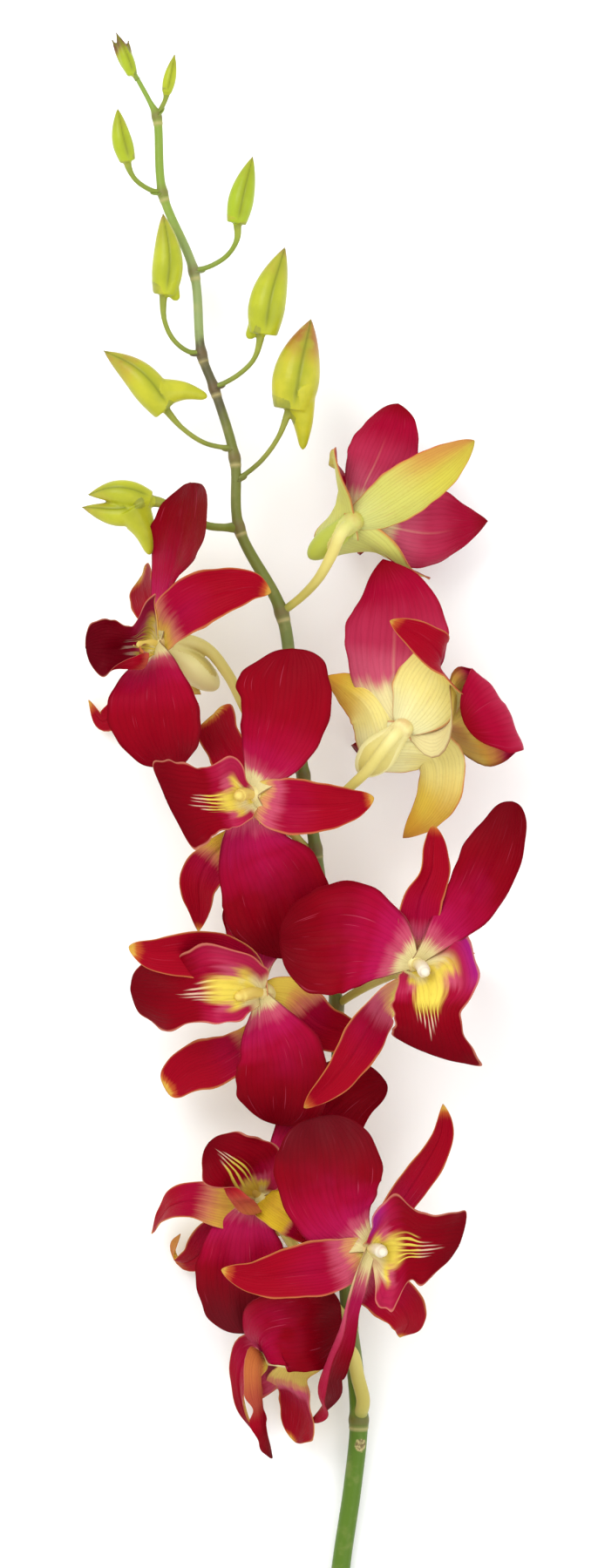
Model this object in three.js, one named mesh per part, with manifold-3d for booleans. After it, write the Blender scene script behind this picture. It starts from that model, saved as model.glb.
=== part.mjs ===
// A cut spray of a dendrobium orchid, lying on a surface with most of its flowers turned up.
// Lengths are millimetres. The surface is z = 0, +Z is up, and +Y runs from the cut end to the tip.
// The origin lies on the surface, under the middle of the spray's box.

import * as THREE from 'three';
import Module from 'manifold-3d';
import { mergeVertices } from 'three/addons/utils/BufferGeometryUtils.js';

const wasm = await Module();
wasm.setup();

// Driving dimensions

const GAP = 0.3; // clear space that neighbouring pieces keep
const WELD = 1e-4; // vertices closer than this are one

const BLADE_MIDDLE = 0.9; // thickness of a petal or sepal along its middle
const BLADE_EDGE = 0.65; // and at its edge
const TIP_HALF_WIDTH = 0.7; // the narrowest that a blade's end gets

const STALK_RADIUS = 0.95;
const OVARY_RADIUS = 1.5; // the stalk thickens to this behind the flower
const HUB_RADIUS = 3.6; // the knob at the heart that the sepals, the chin and the ovary grow from
const HUB_BEHIND = 1.2; // how far it lies behind the heart
const CHIN_RADIUS = 2.7;
const CHIN_TIP_RADIUS = 1.3;
const CHIN_SHARE = 0.46; // the lower sepals sit this far down the chin, and reach as far to either side
const COLUMN_LENGTH = 8.4;
const COLUMN_RADIUS = 1.9;
const LIP_ROOT = 0.12; // the lip leaves the flower this far down the chin
const LIP_THROAT = 2.4; // half the lip's width where it leaves the heart
const LIP_CUP = 1.0; // how far round, in radians, each side lobe stands up beside the column
const CLAW = 1.7; // half the width of a petal where it leaves the heart

const TURN_SHARE = 0.5; // the share of a blade's length over which it turns to the way its tip faces

const NODE_SWELLING = 0.45; // how far the stem swells at a node
const NODE_REACH = 1.8; // how far along the stem the swelling fades
const STEP_LENGTH = 12; // the most between two rings of the stem's vertices
const BRACT_LENGTH = 4.6;
const BRACT_RADIUS = 1.3;
const BRACT_OUT = 1.9; // how far a bract's point stands off its stalk

const BUD_STALK_RADIUS = 0.75;

// The stem's centre line from the cut end to the tip, with its diameter.
// A node is a joint where a stalk leaves.
const STEM = [
  { at: [5, -192, 2.0], wide: 4.3 },
  { at: [8.4, -160, 2.6], wide: 4.3 },
  { at: [11, -142, 4], wide: 4.2 },
  { at: [12.4, -126.8, 6], wide: 4.2, node: true },
  { at: [11.2, -112, 8], wide: 3.8 },
  { at: [10.2, -104, 9], wide: 3.6, node: true },
  { at: [9.4, -93, 10.4], wide: 3.6, node: true },
  { at: [8.6, -80, 11.5], wide: 3.4 },
  { at: [7.8, -52.4, 14.5], wide: 3.3, node: true },
  { at: [7.2, -31, 17], wide: 3.1, node: true },
  { at: [4.4, -10, 20], wide: 2.9 },
  { at: [2.4, 5, 22], wide: 2.8, node: true },
  { at: [-0.4, 22, 23.4], wide: 2.8, node: true },
  { at: [-2.8, 40, 24], wide: 2.8 },
  { at: [-5.4, 59.4, 24], wide: 2.9, node: true },
  { at: [-15.2, 79, 22.5], wide: 2.4, node: true },
  { at: [-16.2, 95, 21], wide: 2.3, node: true },
  { at: [-20.9, 111, 19], wide: 2.1, node: true },
  { at: [-23.8, 119, 18], wide: 2.1, node: true },
  { at: [-25.6, 138, 15.5], wide: 2.1, node: true },
  { at: [-32.6, 155.6, 12.5], wide: 2.0, node: true },
  { at: [-33.8, 173, 10], wide: 1.8, node: true },
  { at: [-38.6, 181.6, 8.7], wide: 1.5 },
];

// The buds from the tip down. A body runs from its base to its tip, and a chin is the spur of an older bud.
const BUDS = [
  {
    stalk: [[-38.2, 181, 8.8], [-39.2, 182.4, 8.6]],
    body: [[-39.2, 182, 8.6], [-42.8, 191.4, 8.6]],
    wide: 3.2,
  },
  {
    stalk: [[-33.8, 173, 10], [-32, 177, 10.6], [-31.6, 179.4, 11]],
    body: [[-31.7, 178.8, 11], [-30, 186.8, 11]],
    wide: 2.8,
  },
  {
    stalk: [[-32.6, 155.6, 12.5], [-35.6, 156.4, 13], [-39, 158.8, 14], [-40.6, 162, 15], [-40.7, 163.6, 15]],
    body: [[-40.6, 162.8, 15], [-42.1, 168, 15.6], [-43, 174.6, 15.6]],
    wide: 4.8,
  },
  {
    stalk: [
      [-25.6, 138, 15.5], [-21, 139.6, 16.5], [-17.6, 142, 17.5],
      [-15.6, 145.6, 18.4], [-15.7, 150, 18.6],
    ],
    body: [[-15.8, 149, 18.6], [-14.4, 156, 18.6], [-12, 163.6, 18]],
    wide: 6,
  },
  {
    stalk: [[-23.8, 119, 18], [-27, 119.6, 18.5], [-30.4, 122.4, 19.5], [-32.4, 127, 20], [-32.6, 134, 20]],
    body: [[-32.3, 132.6, 20], [-31.6, 141, 20.4], [-32.7, 150.8, 20]],
    wide: 7.2,
    chin: [[-31.8, 136, 20], [-29.3, 131.2, 19.6]],
  },
  {
    stalk: [[-20.9, 111, 19], [-15, 114.4, 20.6], [-11.6, 118, 21.6], [-9.8, 124.5, 22]],
    body: [[-9.6, 123.4, 22], [-8.4, 132, 22.2], [-4.6, 143, 20.6]],
    wide: 8.6,
    chin: [[-9.2, 128, 22], [-13.6, 121.6, 21]],
  },
  {
    stalk: [[-15.8, 89.6, 21.4], [-10, 94.4, 23.2], [-6, 100, 24], [-3.2, 107.5, 24]],
    body: [[-3.2, 106, 24], [-1.6, 116, 24], [1.4, 126.4, 22.4]],
    wide: 11,
    chin: [[-2.4, 110, 24], [-0.6, 103, 23], [-0.6, 97, 21.6]],
  },
  {
    stalk: [[-16.4, 97, 20.8], [-23, 98.4, 21.6], [-28.4, 102, 22], [-33, 107.4, 22]],
    body: [[-32, 106, 22], [-38.4, 113.8, 22.4], [-46, 119.4, 21]],
    wide: 8,
    chin: [[-34.6, 109.6, 22], [-27.6, 110.4, 21.4], [-22.4, 108.6, 20.8]],
  },
];

// The lowest bud is opening: two lobes part at its tip.
const OPENING_BUD = {
  stalk: [
    [-15.2, 79, 22.5], [-19, 79, 22], [-22.4, 79.4, 21.8],
    [-28, 82, 22], [-33, 84.6, 24], [-38, 85.2, 26],
  ],
  lobes: [
    { body: [[-35.6, 85, 25.6], [-43, 87, 26.4], [-50, 86.4, 25.6]], wide: 6.4 },
    { body: [[-36.6, 83, 25.4], [-43, 82, 25.4], [-51.4, 83.6, 24.4]], wide: 6.2 },
  ],
  chin: [[-39, 84, 25.4], [-36.6, 78.6, 25], [-35.6, 72.8, 24]],
  wide: 7.4,
};

// The flowers from the top down. The heart is where the parts of a flower meet, and it faces the way the
// flower looks. Each blade is a line of points from the heart outwards, with half of its greatest width.
const FLOWERS = [
  {
    heart: [-34, 52.6, 25],
    facing: [-0.75, -0.1, 0.65],
    chin: [-20, 42, 18],
    stalk: [[-0.4, 22, 23.4], [-5, 26.4, 22], [-12, 34, 21], [-17.6, 45, 22], [-22.4, 51, 23], [-27, 53, 24]],
    dorsal: {
      via: [[-30, 58, 31], [-24.2, 62, 34], [-17.2, 64.4, 36], [-12, 65.2, 36], [-7.8, 64, 34]],
      wide: 6.5,
    },
    petals: [
      {
        via: [[-32.4, 60, 28], [-30.4, 68, 31.4], [-28.4, 77, 35], [-27.2, 83.4, 36], [-26.2, 89, 35]],
        wide: 9.6,
        face: [-0.82, 0, 0.58],
      },
      {
        via: [[-34.6, 45, 29], [-34.4, 37, 30], [-32.8, 29, 28], [-29.8, 22.4, 24]],
        wide: 11,
        fall: 0.65,
        face: [-0.3, -0.1, 0.95],
      },
    ],
    laterals: [
      { via: [[-35.6, 60, 20], [-37.4, 65, 15], [-38.4, 68.6, 10]], wide: 5.5 },
      { via: [[-38, 46, 17], [-42.6, 39.6, 9], [-46, 35.6, 3], [-48.6, 37, 0]], wide: 4.6 },
    ],
    lip: {
      via: [[-37, 53, 28], [-41, 53.4, 33], [-45.6, 52.6, 37], [-50.2, 52.4, 38]],
      side: 8.5,
      mid: 8.5,
      face: [0.5, 0.1, 0.85],
    },
  },
  {
    heart: [11.6, 80.8, 28],
    facing: [0.35, 0.3, -0.88],
    chin: [0.8, 72, 24],
    stalk: [[-5.4, 59.4, 24], [-0.6, 63.2, 26], [3.2, 67.4, 29], [6, 72.4, 31], [8.4, 77.6, 32]],
    dorsal: { via: [[16.6, 83, 31], [24.4, 88.2, 34], [31, 92.6, 34], [38.8, 98.8, 31]], wide: 6.2 },
    petals: [
      { via: [[13.6, 88, 26], [16.4, 94, 25], [18.8, 100, 23], [21.4, 107.4, 20]], wide: 8, fall: 0.6 },
      { via: [[20, 79, 26], [28, 77.8, 23], [35.6, 79, 18], [41.2, 81, 13]], wide: 9.5, fall: 0.8 },
    ],
    laterals: [
      { via: [[7.6, 84, 26], [8.4, 90, 24], [7.2, 93.6, 17], [5.6, 93.6, 9]], wide: 5 },
      { via: [[15, 75, 22], [20.6, 73, 17], [23.6, 71, 9], [24, 69.4, 0]], wide: 4.8 },
    ],
    lip: { via: [[10, 77.6, 21], [9.6, 74.4, 13], [11.6, 71.6, 6], [14.4, 69.6, 3]], side: 7, mid: 7 },
  },
  {
    heart: [-12.4, 17.6, 33],
    facing: [-0.35, -0.05, 0.93],
    chin: [-3.5, 7.5, 19],
    stalk: [[2.6, 4, 21.9], [0, 5.6, 22], [-4, 10, 23.5], [-9, 15, 28]],
    dorsal: { via: [[-6, 15.4, 36], [3, 15, 38], [10, 15.4, 36.5], [15.8, 16.6, 34]], wide: 6.8 },
    petals: [
      {
        via: [[-7.6, 27, 35], [-4.2, 37, 36], [-3.2, 45, 35.5], [-3, 51, 34]],
        wide: 10.8,
        face: [-0.1, 0, 1],
      },
      {
        via: [[-11.4, 5, 32], [-7.2, -4, 31], [-4.8, -12, 29.5], [-4.2, -20, 27.5]],
        wide: 13,
        face: [-0.08, 0, 1],
      },
    ],
    laterals: [
      { via: [[-15, 24, 27], [-19, 30.4, 22], [-22, 35.6, 17]], wide: 5.2 },
      { via: [[-20, 5, 26], [-22.8, -2, 21], [-23.6, -8.4, 17], [-24.6, -14, 14]], wide: 5.6 },
    ],
    lip: {
      via: [[-16, 15, 37], [-21, 15, 41.5], [-26, 15.8, 45], [-32.4, 17.2, 47]],
      side: 11,
      mid: 10.5,
      cup: 0.8,
      skew: 0.35,
      face: [0.3, 0, 0.95],
    },
  },
  {
    heart: [22.6, 32.8, 30],
    facing: [0.15, 0, -0.98],
    chin: [12.4, 22.4, 25],
    stalk: [
      [1.6, 9.6, 22.4], [6.4, 15.6, 26], [10.2, 19.2, 29],
      [14, 22.8, 31], [17.4, 27.2, 33], [20.4, 31, 33.5],
    ],
    dorsal: {
      via: [[27, 39.6, 34], [31, 45.6, 38], [32.4, 49.6, 43], [28.4, 54, 46], [19.4, 57.4, 44]],
      wide: 7.4,
    },
    petals: [
      { via: [[20.4, 45, 29], [20.6, 53.6, 30], [20.4, 62, 30], [17.8, 71.6, 29]], wide: 12, fall: 0.85 },
      {
        via: [
          [31, 33, 29], [39, 35.6, 29], [44.6, 37.8, 31],
          [45.4, 38, 35], [42, 36.4, 38], [36.6, 33.6, 38.5],
        ],
        wide: 11.5,
      },
    ],
    laterals: [
      { via: [[15, 37, 28], [10, 41.6, 25], [4.8, 44.8, 21]], wide: 5.5 },
      { via: [[29.4, 26.4, 27], [30.6, 20.6, 25], [28, 13.6, 19], [22.6, 7.6, 12]], wide: 6.2 },
    ],
    lip: { via: [[21, 30, 25], [18, 27.6, 17], [14.8, 26.8, 9], [12, 27.2, 3]], side: 8, mid: 7 },
  },
  {
    heart: [25.4, -21.2, 36],
    facing: [0.25, -0.25, 0.93],
    chin: [19.4, -33, 24],
    stalk: [[7.2, -31, 17], [10, -29, 19], [15, -26, 23], [21, -23, 30]],
    dorsal: {
      via: [[25.6, -12, 38], [26.4, -6, 40], [28.8, 0, 40], [29.4, 6, 38], [29.6, 10.8, 36]],
      wide: 5.2,
    },
    petals: [
      {
        via: [[18, -17.4, 39], [10, -15.4, 39], [2, -15.6, 38], [-5.8, -16, 35.5]],
        wide: 13.2,
        face: [0, 0, 1],
      },
      {
        via: [[34, -12, 39], [38, -7, 42], [42, 0, 44], [45.2, 8, 44], [47.2, 16, 42]],
        wide: 8,
        face: [-0.5, -0.2, 0.8],
      },
    ],
    laterals: [
      { via: [[18, -30, 33], [13.2, -39, 35], [8, -46.6, 37], [-0.2, -54.2, 37]], wide: 4.8 },
      { via: [[30, -24, 27], [34, -21.6, 18], [36, -20.6, 9], [36.4, -21, 3]], wide: 5.5 },
    ],
    lip: {
      via: [[27, -24.4, 40], [28.6, -29, 43.5], [29.6, -34, 45.5], [31.4, -38.6, 45], [34.4, -43, 42]],
      side: 11.5,
      mid: 10,
      cup: 0.6,
      skew: -0.4,
      face: [0.1, 0.3, 0.95],
    },
  },
  {
    heart: [-10, -27.6, 27],
    facing: [-0.65, -0.15, 0.75],
    chin: [-3, -33, 17],
    stalk: [[7.8, -52.4, 14.5], [3, -47, 14.5], [-3, -38, 16.5], [-7.6, -31, 22]],
    dorsal: { via: [[-3, -29, 27], [2.6, -34.4, 26], [9, -37, 25], [15.4, -36.6, 23]], wide: 6.3 },
    petals: [
      {
        via: [[-10.2, -22, 23.6], [-9.6, -14, 20], [-8.8, -6, 17], [-8.4, 0, 14.4]],
        wide: 9.5,
        face: [-0.15, -0.1, 1],
      },
      {
        via: [[-7.6, -36, 29], [-5.4, -43, 30], [-5, -51, 29], [-5.6, -58.4, 26]],
        wide: 11.2,
        face: [-0.2, -0.1, 0.95],
      },
    ],
    laterals: [
      {
        via: [[-13, -21, 28], [-19, -17.4, 31], [-27, -16.6, 33], [-34, -17, 33], [-40, -16.4, 31]],
        wide: 5.6,
        fall: 0.6,
      },
      { via: [[-15, -36, 22], [-20, -41.6, 20], [-25.6, -45, 17], [-31.6, -49.4, 13]], wide: 5.4, fall: 0.5 },
    ],
    lip: {
      via: [[-14, -28, 31], [-20, -28, 34.5], [-28, -27.6, 34], [-34, -27.6, 31], [-40, -27.6, 27]],
      side: 9.5,
      mid: 8.5,
      face: [-0.1, -0.1, 1],
    },
  },
  {
    heart: [15, -86.4, 33],
    facing: [0.35, -0.1, 0.93],
    chin: [9, -92, 19],
    stalk: [[9.4, -93, 10.4], [11, -92.4, 14], [12.4, -90, 20], [14, -87.6, 27]],
    dorsal: { via: [[6.2, -91, 37], [-2, -92.2, 37.5], [-11.6, -93, 36], [-19.2, -91.4, 33.5]], wide: 5.6 },
    petals: [
      {
        via: [[8.4, -80.4, 36], [5.8, -73.6, 37], [5.2, -65, 36], [3.2, -55.4, 33]],
        wide: 12.8,
        face: [0.1, 0, 1],
      },
      {
        via: [
          [12.2, -95, 35], [10, -104, 33], [8.2, -113, 30],
          [6.4, -120, 25], [6.6, -122.6, 21], [3.8, -126.6, 16],
        ],
        wide: 5.2,
        face: [0.8, 0, 0.5],
        cup: 1.2,
      },
    ],
    laterals: [
      { via: [[21, -77, 31], [26.8, -68.4, 29], [31, -60.6, 30], [31.6, -53.4, 34]], wide: 4.6 },
      { via: [[18, -95.6, 29], [22.4, -100.4, 26], [23.6, -104, 22], [21.8, -107.4, 17]], wide: 6 },
    ],
    lip: {
      via: [[17.6, -86.8, 37], [22, -87.2, 41], [27, -87, 43.5], [32, -86, 44], [36.4, -84.8, 42]],
      side: 13,
      mid: 9,
      cup: 0.45,
      skew: -0.3,
      face: [0, -0.1, 1],
    },
  },
  {
    heart: [-10.6, -74.4, 21],
    facing: [-0.55, 0.45, 0.7],
    chin: [-3, -83, 12],
    stalk: [
      [10.2, -104, 9], [7, -100, 13], [2.4, -93.6, 19],
      [-1.4, -88, 23], [-4, -84, 25], [-7.5, -78.5, 24],
    ],
    dorsal: { via: [[-7.6, -76.6, 26], [-3.4, -79.6, 28], [0, -82.6, 27], [2.6, -85.6, 25]], wide: 4.6 },
    petals: [
      {
        via: [[-4, -68, 21.5], [3, -61, 22], [10, -53.6, 22], [18.4, -48.2, 20]],
        wide: 11.5,
        face: [-0.1, 0.1, 1],
      },
      {
        via: [[-13.6, -82, 24], [-14.2, -90, 24.4], [-14.6, -98, 23.2], [-14.8, -106.2, 21]],
        wide: 11.5,
        cup: 0.12,
        face: [-0.1, 0, 1],
      },
    ],
    laterals: [
      {
        via: [[-20, -76.8, 22], [-25.6, -75.8, 22], [-30.6, -77, 18], [-33.2, -80, 12], [-35.4, -83.8, 6]],
        wide: 4.6,
      },
      {
        via: [[-20, -83, 15], [-25, -89, 9], [-28.8, -90.4, 5], [-30.2, -88, 5], [-28.8, -83.8, 9]],
        wide: 4.4,
      },
    ],
    lip: {
      via: [[-12.6, -71, 26], [-15, -68, 30], [-17.4, -64.4, 32], [-20.4, -60.4, 32]],
      side: 8.5,
      mid: 9,
      cup: 0.6,
      face: [0, -0.1, 1],
    },
  },
  {
    heart: [-9, -112, 19],
    facing: [-0.8, -0.5, 0.25],
    chin: [6.4, -113, 13],
    stalk: [[12.4, -126.4, 6], [13.4, -122.4, 9.5], [12.2, -117, 11.5], [10.6, -111, 13], [8.4, -109.6, 13],
      [4.4, -111.2, 13], [-1, -112.4, 14.5]],
    stalkRadius: 1.6,
    dorsal: { via: [[-12, -106.4, 15], [-14.4, -101, 11], [-16, -96, 8.6], [-16.4, -91, 8]], wide: 5 },
    petals: [
      {
        via: [[-10, -108.4, 25], [-7.6, -106, 29], [-1, -105, 29], [8.4, -104, 23]],
        wide: 10.5,
        face: [-0.2, -0.2, 0.95],
      },
      { via: [[-10, -106, 11], [-8.4, -99, 6], [-5.6, -92.4, 4], [-4, -87, 3.5]], wide: 9 },
    ],
    laterals: [
      { via: [[-4, -119.6, 13], [-1, -123, 10], [-0.6, -127, 7], [-2.6, -131.2, 4]], wide: 5 },
      { via: [[-13, -114, 12], [-15.4, -119, 9], [-13.8, -125, 6], [-10.8, -131, 4]], wide: 4 },
    ],
    lip: {
      via: [[-8.8, -115, 19.4], [-8.8, -119.4, 19], [-9.2, -126, 17], [-9.4, -131, 14], [-8.2, -135.2, 10]],
      side: 8.5,
      mid: 4.5,
      cup: 1.3,
      face: [-1, 0, 0.15],
    },
  },
];

const COLOURS = {
  stem: { color: 0x7d8f3c, roughness: 0.5 },
  bud: { color: 0xb9cc3f, roughness: 0.45 },
  sepals: { color: 0xc02846, roughness: 0.5 },
  petal: { color: 0x9c0f33, roughness: 0.5 },
  lip: { color: 0x8e0a26, roughness: 0.45 },
  column: { color: 0xf1e8c8, roughness: 0.4 },
};

// Small helpers

const vec = ([x, y, z]) => new THREE.Vector3(x, y, z);
const list = (v) => [v.x, v.y, v.z];
const mix = (a, b, t) => a + (b - a) * t;
const ease = (t) => t * t * (3 - 2 * t);
const between = (a, b, t) => vec(a).lerp(vec(b), t);
const crowd = (u) => Math.sin((Math.PI / 2) * u); // closer together towards the tip
const square = (v, along) => v.clone().addScaledVector(along, -v.dot(along)).normalize();
const pathThrough = (points) => new THREE.CatmullRomCurve3(points.map(vec), false, 'centripetal');

// Stations along a path: the place, the way the path runs, the way the piece faces, and the way across it.
// The facing is carried along without twisting, and then turned bit by bit until the tip faces as asked.
function stationsAlong(path, shares, face, tipFace) {
  let along = path.getTangentAt(0);
  let facing = square(face, along);
  const stations = shares.map((t) => {
    const next = path.getTangentAt(t);
    facing.applyQuaternion(new THREE.Quaternion().setFromUnitVectors(along, next));
    facing = square(facing, next);
    along = next;
    return { t, place: path.getPointAt(t), along, facing: facing.clone() };
  });
  if (tipFace) turnTowards(stations, tipFace);
  stations.forEach((s) => {
    s.across = new THREE.Vector3().crossVectors(s.along, s.facing);
  });
  return stations;
}

function turnTowards(stations, tipFace) {
  const last = stations[stations.length - 1];
  const wanted = square(tipFace, last.along);
  const side = new THREE.Vector3().crossVectors(last.facing, wanted).dot(last.along);
  const turn = Math.atan2(side, last.facing.dot(wanted));
  stations.forEach((s) => s.facing.applyAxisAngle(s.along, turn * ease(Math.min(1, s.t / TURN_SHARE))));
}

const evenShares = (count) => Array.from({ length: count + 1 }, (_, i) => i / count);

// A round tube along a path: a cylinder whose rings are moved to the stations.
function tubeGeometry(path, radiusAt, sides, shares, grow = 0) {
  const geometry = new THREE.CylinderGeometry(1, 1, 1, sides, shares.length - 1);
  const start = path.getTangentAt(0);
  const face = Math.abs(start.z) < 0.9 ? new THREE.Vector3(0, 0, 1) : new THREE.Vector3(1, 0, 0);
  const stations = stationsAlong(path, shares, face);
  const spots = geometry.attributes.position;
  for (let i = 0; i < spots.count; i += 1) {
    const ring = Math.round((spots.getY(i) + 0.5) * (shares.length - 1));
    const s = stations[ring];
    const [a, b] = [spots.getX(i), spots.getZ(i)];
    const radius = radiusAt(s.t) + grow;
    const end = ring === 0 ? -grow : ring === shares.length - 1 ? grow : 0;
    const spot = s.place.clone().addScaledVector(s.facing, a * radius);
    spot.addScaledVector(s.across, -b * radius).addScaledVector(s.along, end);
    spots.setXYZ(i, spot.x, spot.y, spot.z);
  }
  return geometry;
}

// Half of a blade's width along it: narrow at the heart, full in the middle, and drawn to a tip.
function bladeWidth(wide, rise, fall, claw) {
  const peak = rise / (rise + fall);
  const top = peak ** rise * (1 - peak) ** fall;
  return (t) => {
    const body = (wide * t ** rise * (1 - t) ** fall) / top;
    return Math.max(Math.hypot(body, claw * (1 - t) ** 2), TIP_HALF_WIDTH);
  };
}

// A lip is wide twice: at its side lobes, which stand up round the column, and at its middle lobe.
function lipWidth(side, mid) {
  const hump = (t, middle, reach) => Math.cos((Math.PI / 2) * Math.min(1, Math.abs(t - middle) / reach));
  return (t) => {
    const lobes = (side * hump(t, 0.32, 0.3) ** 0.8) ** 4 + (mid * hump(t, 0.8, 0.28) ** 0.7) ** 4;
    return Math.max((lobes + LIP_THROAT ** 4) ** 0.25 * mix(1, 0.3, t ** 20), TIP_HALF_WIDTH);
  };
}

const lipCup = (cup) => (t) => {
  if (t < 0.62) return mix(cup, 0.3, ease(Math.max(0, t - 0.3) / 0.32));
  return mix(0.3, -0.3, (t - 0.62) / 0.38);
};

// A point of a blade's middle surface, where s runs across it from -1 to 1.
function bladePoint(blade, station, s, grow) {
  const half = blade.width(station.t) + grow;
  const cup = blade.cup(station.t) || 1e-3;
  const sideways = (Math.sin(cup * s) / cup) * half;
  const side = s < 0 ? 2.1 : 0;
  const swell = blade.wave * Math.sin(Math.PI * station.t);
  const ruffle = swell * Math.abs(s) ** 3 * Math.sin(9 * station.t + side);
  const lift = ((1 - Math.cos(cup * s)) / cup) * half + ruffle;
  const ahead = (blade.skew ?? 0) * s * half * ease(station.t); // one corner of the end reaches further
  const point = station.place.clone().addScaledVector(station.across, sideways);
  return point.addScaledVector(station.facing, lift).addScaledVector(station.along, ahead);
}

function gridNormal(grid, i, j) {
  const row = grid[i];
  const across = row[Math.min(j + 1, row.length - 1)].clone().sub(row[Math.max(j - 1, 0)]);
  const along = grid[Math.min(i + 1, grid.length - 1)][j].clone().sub(grid[Math.max(i - 1, 0)][j]);
  return across.cross(along).normalize();
}

// A thin closed leaf of tissue: a grid of points pushed out to a front and a back, with a rim between them.
// Both faces are split into triangles alike.
function bladeGeometry(blade, grow = 0) {
  const { rows, cols } = blade;
  const shares = evenShares(rows).map(blade.spacing ?? crowd);
  const stations = stationsAlong(pathThrough(blade.points), shares, blade.face, blade.tipFace);
  stations[0].place.addScaledVector(stations[0].along, -grow);
  stations[rows].place.addScaledVector(stations[rows].along, grow);
  const grid = stations.map((station) =>
    Array.from({ length: cols + 1 }, (_, j) => bladePoint(blade, station, (2 * j) / cols - 1, grow)));
  const front = [];
  const back = [];
  grid.forEach((row, i) => row.forEach((point, j) => {
    const s = (2 * j) / cols - 1;
    const half = mix(BLADE_MIDDLE, BLADE_EDGE, s * s) / 2 + grow;
    const normal = gridNormal(grid, i, j);
    front.push(...list(point.clone().addScaledVector(normal, half)));
    back.push(...list(point.clone().addScaledVector(normal, -half)));
  }));
  const geometry = new THREE.BufferGeometry();
  geometry.setAttribute('position', new THREE.Float32BufferAttribute([...front, ...back], 3));
  geometry.setIndex(bladeFaces(rows, cols));
  return geometry;
}

function bladeFaces(rows, cols) {
  const at = (i, j) => i * (cols + 1) + j;
  const behind = (rows + 1) * (cols + 1);
  const faces = [];
  for (let i = 0; i < rows; i += 1) {
    for (let j = 0; j < cols; j += 1) {
      const [a, b, c, d] = [at(i, j), at(i, j + 1), at(i + 1, j + 1), at(i + 1, j)];
      faces.push(a, b, c, a, c, d);
      faces.push(a + behind, c + behind, b + behind, a + behind, d + behind, c + behind);
    }
  }
  const rim = [];
  for (let j = 0; j < cols; j += 1) rim.push(at(0, j));
  for (let i = 0; i < rows; i += 1) rim.push(at(i, cols));
  for (let j = cols; j > 0; j -= 1) rim.push(at(rows, j));
  for (let i = rows; i > 0; i -= 1) rim.push(at(i, 0));
  rim.forEach((p, k) => {
    const q = rim[(k + 1) % rim.length];
    faces.push(q, p, p + behind, q, p + behind, q + behind);
  });
  return faces;
}

// Solids, joined and cut

function solidOf(geometry) {
  geometry.deleteAttribute('normal');
  geometry.deleteAttribute('uv');
  const merged = mergeVertices(geometry, WELD);
  const vertProperties = merged.attributes.position.array;
  const triVerts = Uint32Array.from(merged.index.array);
  return new wasm.Manifold(new wasm.Mesh({ numProp: 3, vertProperties, triVerts }));
}

function geometryOf(solid) {
  const mesh = solid.getMesh();
  const geometry = new THREE.BufferGeometry();
  geometry.setAttribute('position', new THREE.BufferAttribute(Float32Array.from(mesh.vertProperties), 3));
  geometry.setIndex(Array.from(mesh.triVerts));
  return geometry;
}

const join = (solids) => solids.reduce((all, next) => all.add(next));
const largest = (solid) => solid.decompose().reduce((a, b) => (a.volume() >= b.volume() ? a : b));
const cutBy = (solid, cutters) => largest(cutters.reduce((left, cutter) => left.subtract(cutter), solid));

const underground = solidOf(new THREE.BoxGeometry(600, 600, 100).translate(0, 0, -50));

// The stem

const stemPath = pathThrough(STEM.map((point) => point.at));

// The share of the stem's length at each of its points.
function stemShares() {
  const fine = 60;
  const lengths = stemPath.getLengths(fine * (STEM.length - 1));
  return STEM.map((_, k) => lengths[fine * k] / lengths[lengths.length - 1]);
}

const stemAt = stemShares();
const stemLength = stemPath.getLength();

function stemRadius(t) {
  const k = Math.max(1, stemAt.findIndex((share) => share >= t - 1e-9));
  const base = mix(STEM[k - 1].wide, STEM[k].wide, (t - stemAt[k - 1]) / (stemAt[k] - stemAt[k - 1])) / 2;
  const swelling = STEM.reduce((most, point, n) => {
    const away = (stemAt[n] - t) * stemLength;
    return point.node ? Math.max(most, Math.exp(-((away / NODE_REACH) ** 2))) : most;
  }, 0);
  return base + NODE_SWELLING * swelling;
}

// Rings stand close together at the nodes and wide apart between them.
function stemRings() {
  const shares = [];
  for (let k = 1; k < STEM.length; k += 1) {
    const span = (stemAt[k] - stemAt[k - 1]) * stemLength;
    const start = STEM[k - 1].node ? NODE_REACH : 0;
    const end = STEM[k].node ? NODE_REACH : 0;
    const steps = Math.max(1, Math.round((span - start - end) / STEP_LENGTH));
    shares.push(stemAt[k - 1]);
    for (let i = start ? 0 : 1; i < steps + (end ? 1 : 0); i += 1) {
      shares.push(stemAt[k - 1] + mix(start, span - end, i / steps) / stemLength);
    }
  }
  return [...shares, 1];
}

// The small scale under a stalk: it leaves the stem with the stalk and ends in a point below it.
function bractTube(stalk, grow) {
  const root = vec(stalk[0]);
  const out = vec(stalk[1]).sub(root).normalize();
  const under = square(new THREE.Vector3(0, -1, -0.4), out);
  const tip = root.clone().addScaledVector(out, BRACT_LENGTH).addScaledVector(under, BRACT_OUT);
  const path = pathThrough([stalk[0], list(root.lerp(tip, 0.5)), list(tip)]);
  return solidOf(tubeGeometry(path, (t) => mix(BRACT_RADIUS, 0.35, t), 4, evenShares(1), grow));
}

const stalks = [...BUDS, OPENING_BUD, ...FLOWERS].map((piece) => piece.stalk);

function stemSolid(grow) {
  const tube = solidOf(tubeGeometry(stemPath, stemRadius, 7, stemRings(), grow));
  const bracts = stalks.slice(1).map((stalk) => bractTube(stalk, grow));
  return join([tube, ...bracts]);
}

const stem = cutBy(stemSolid(0), [underground]);
const roundStem = stemSolid(GAP);

// Buds

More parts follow.
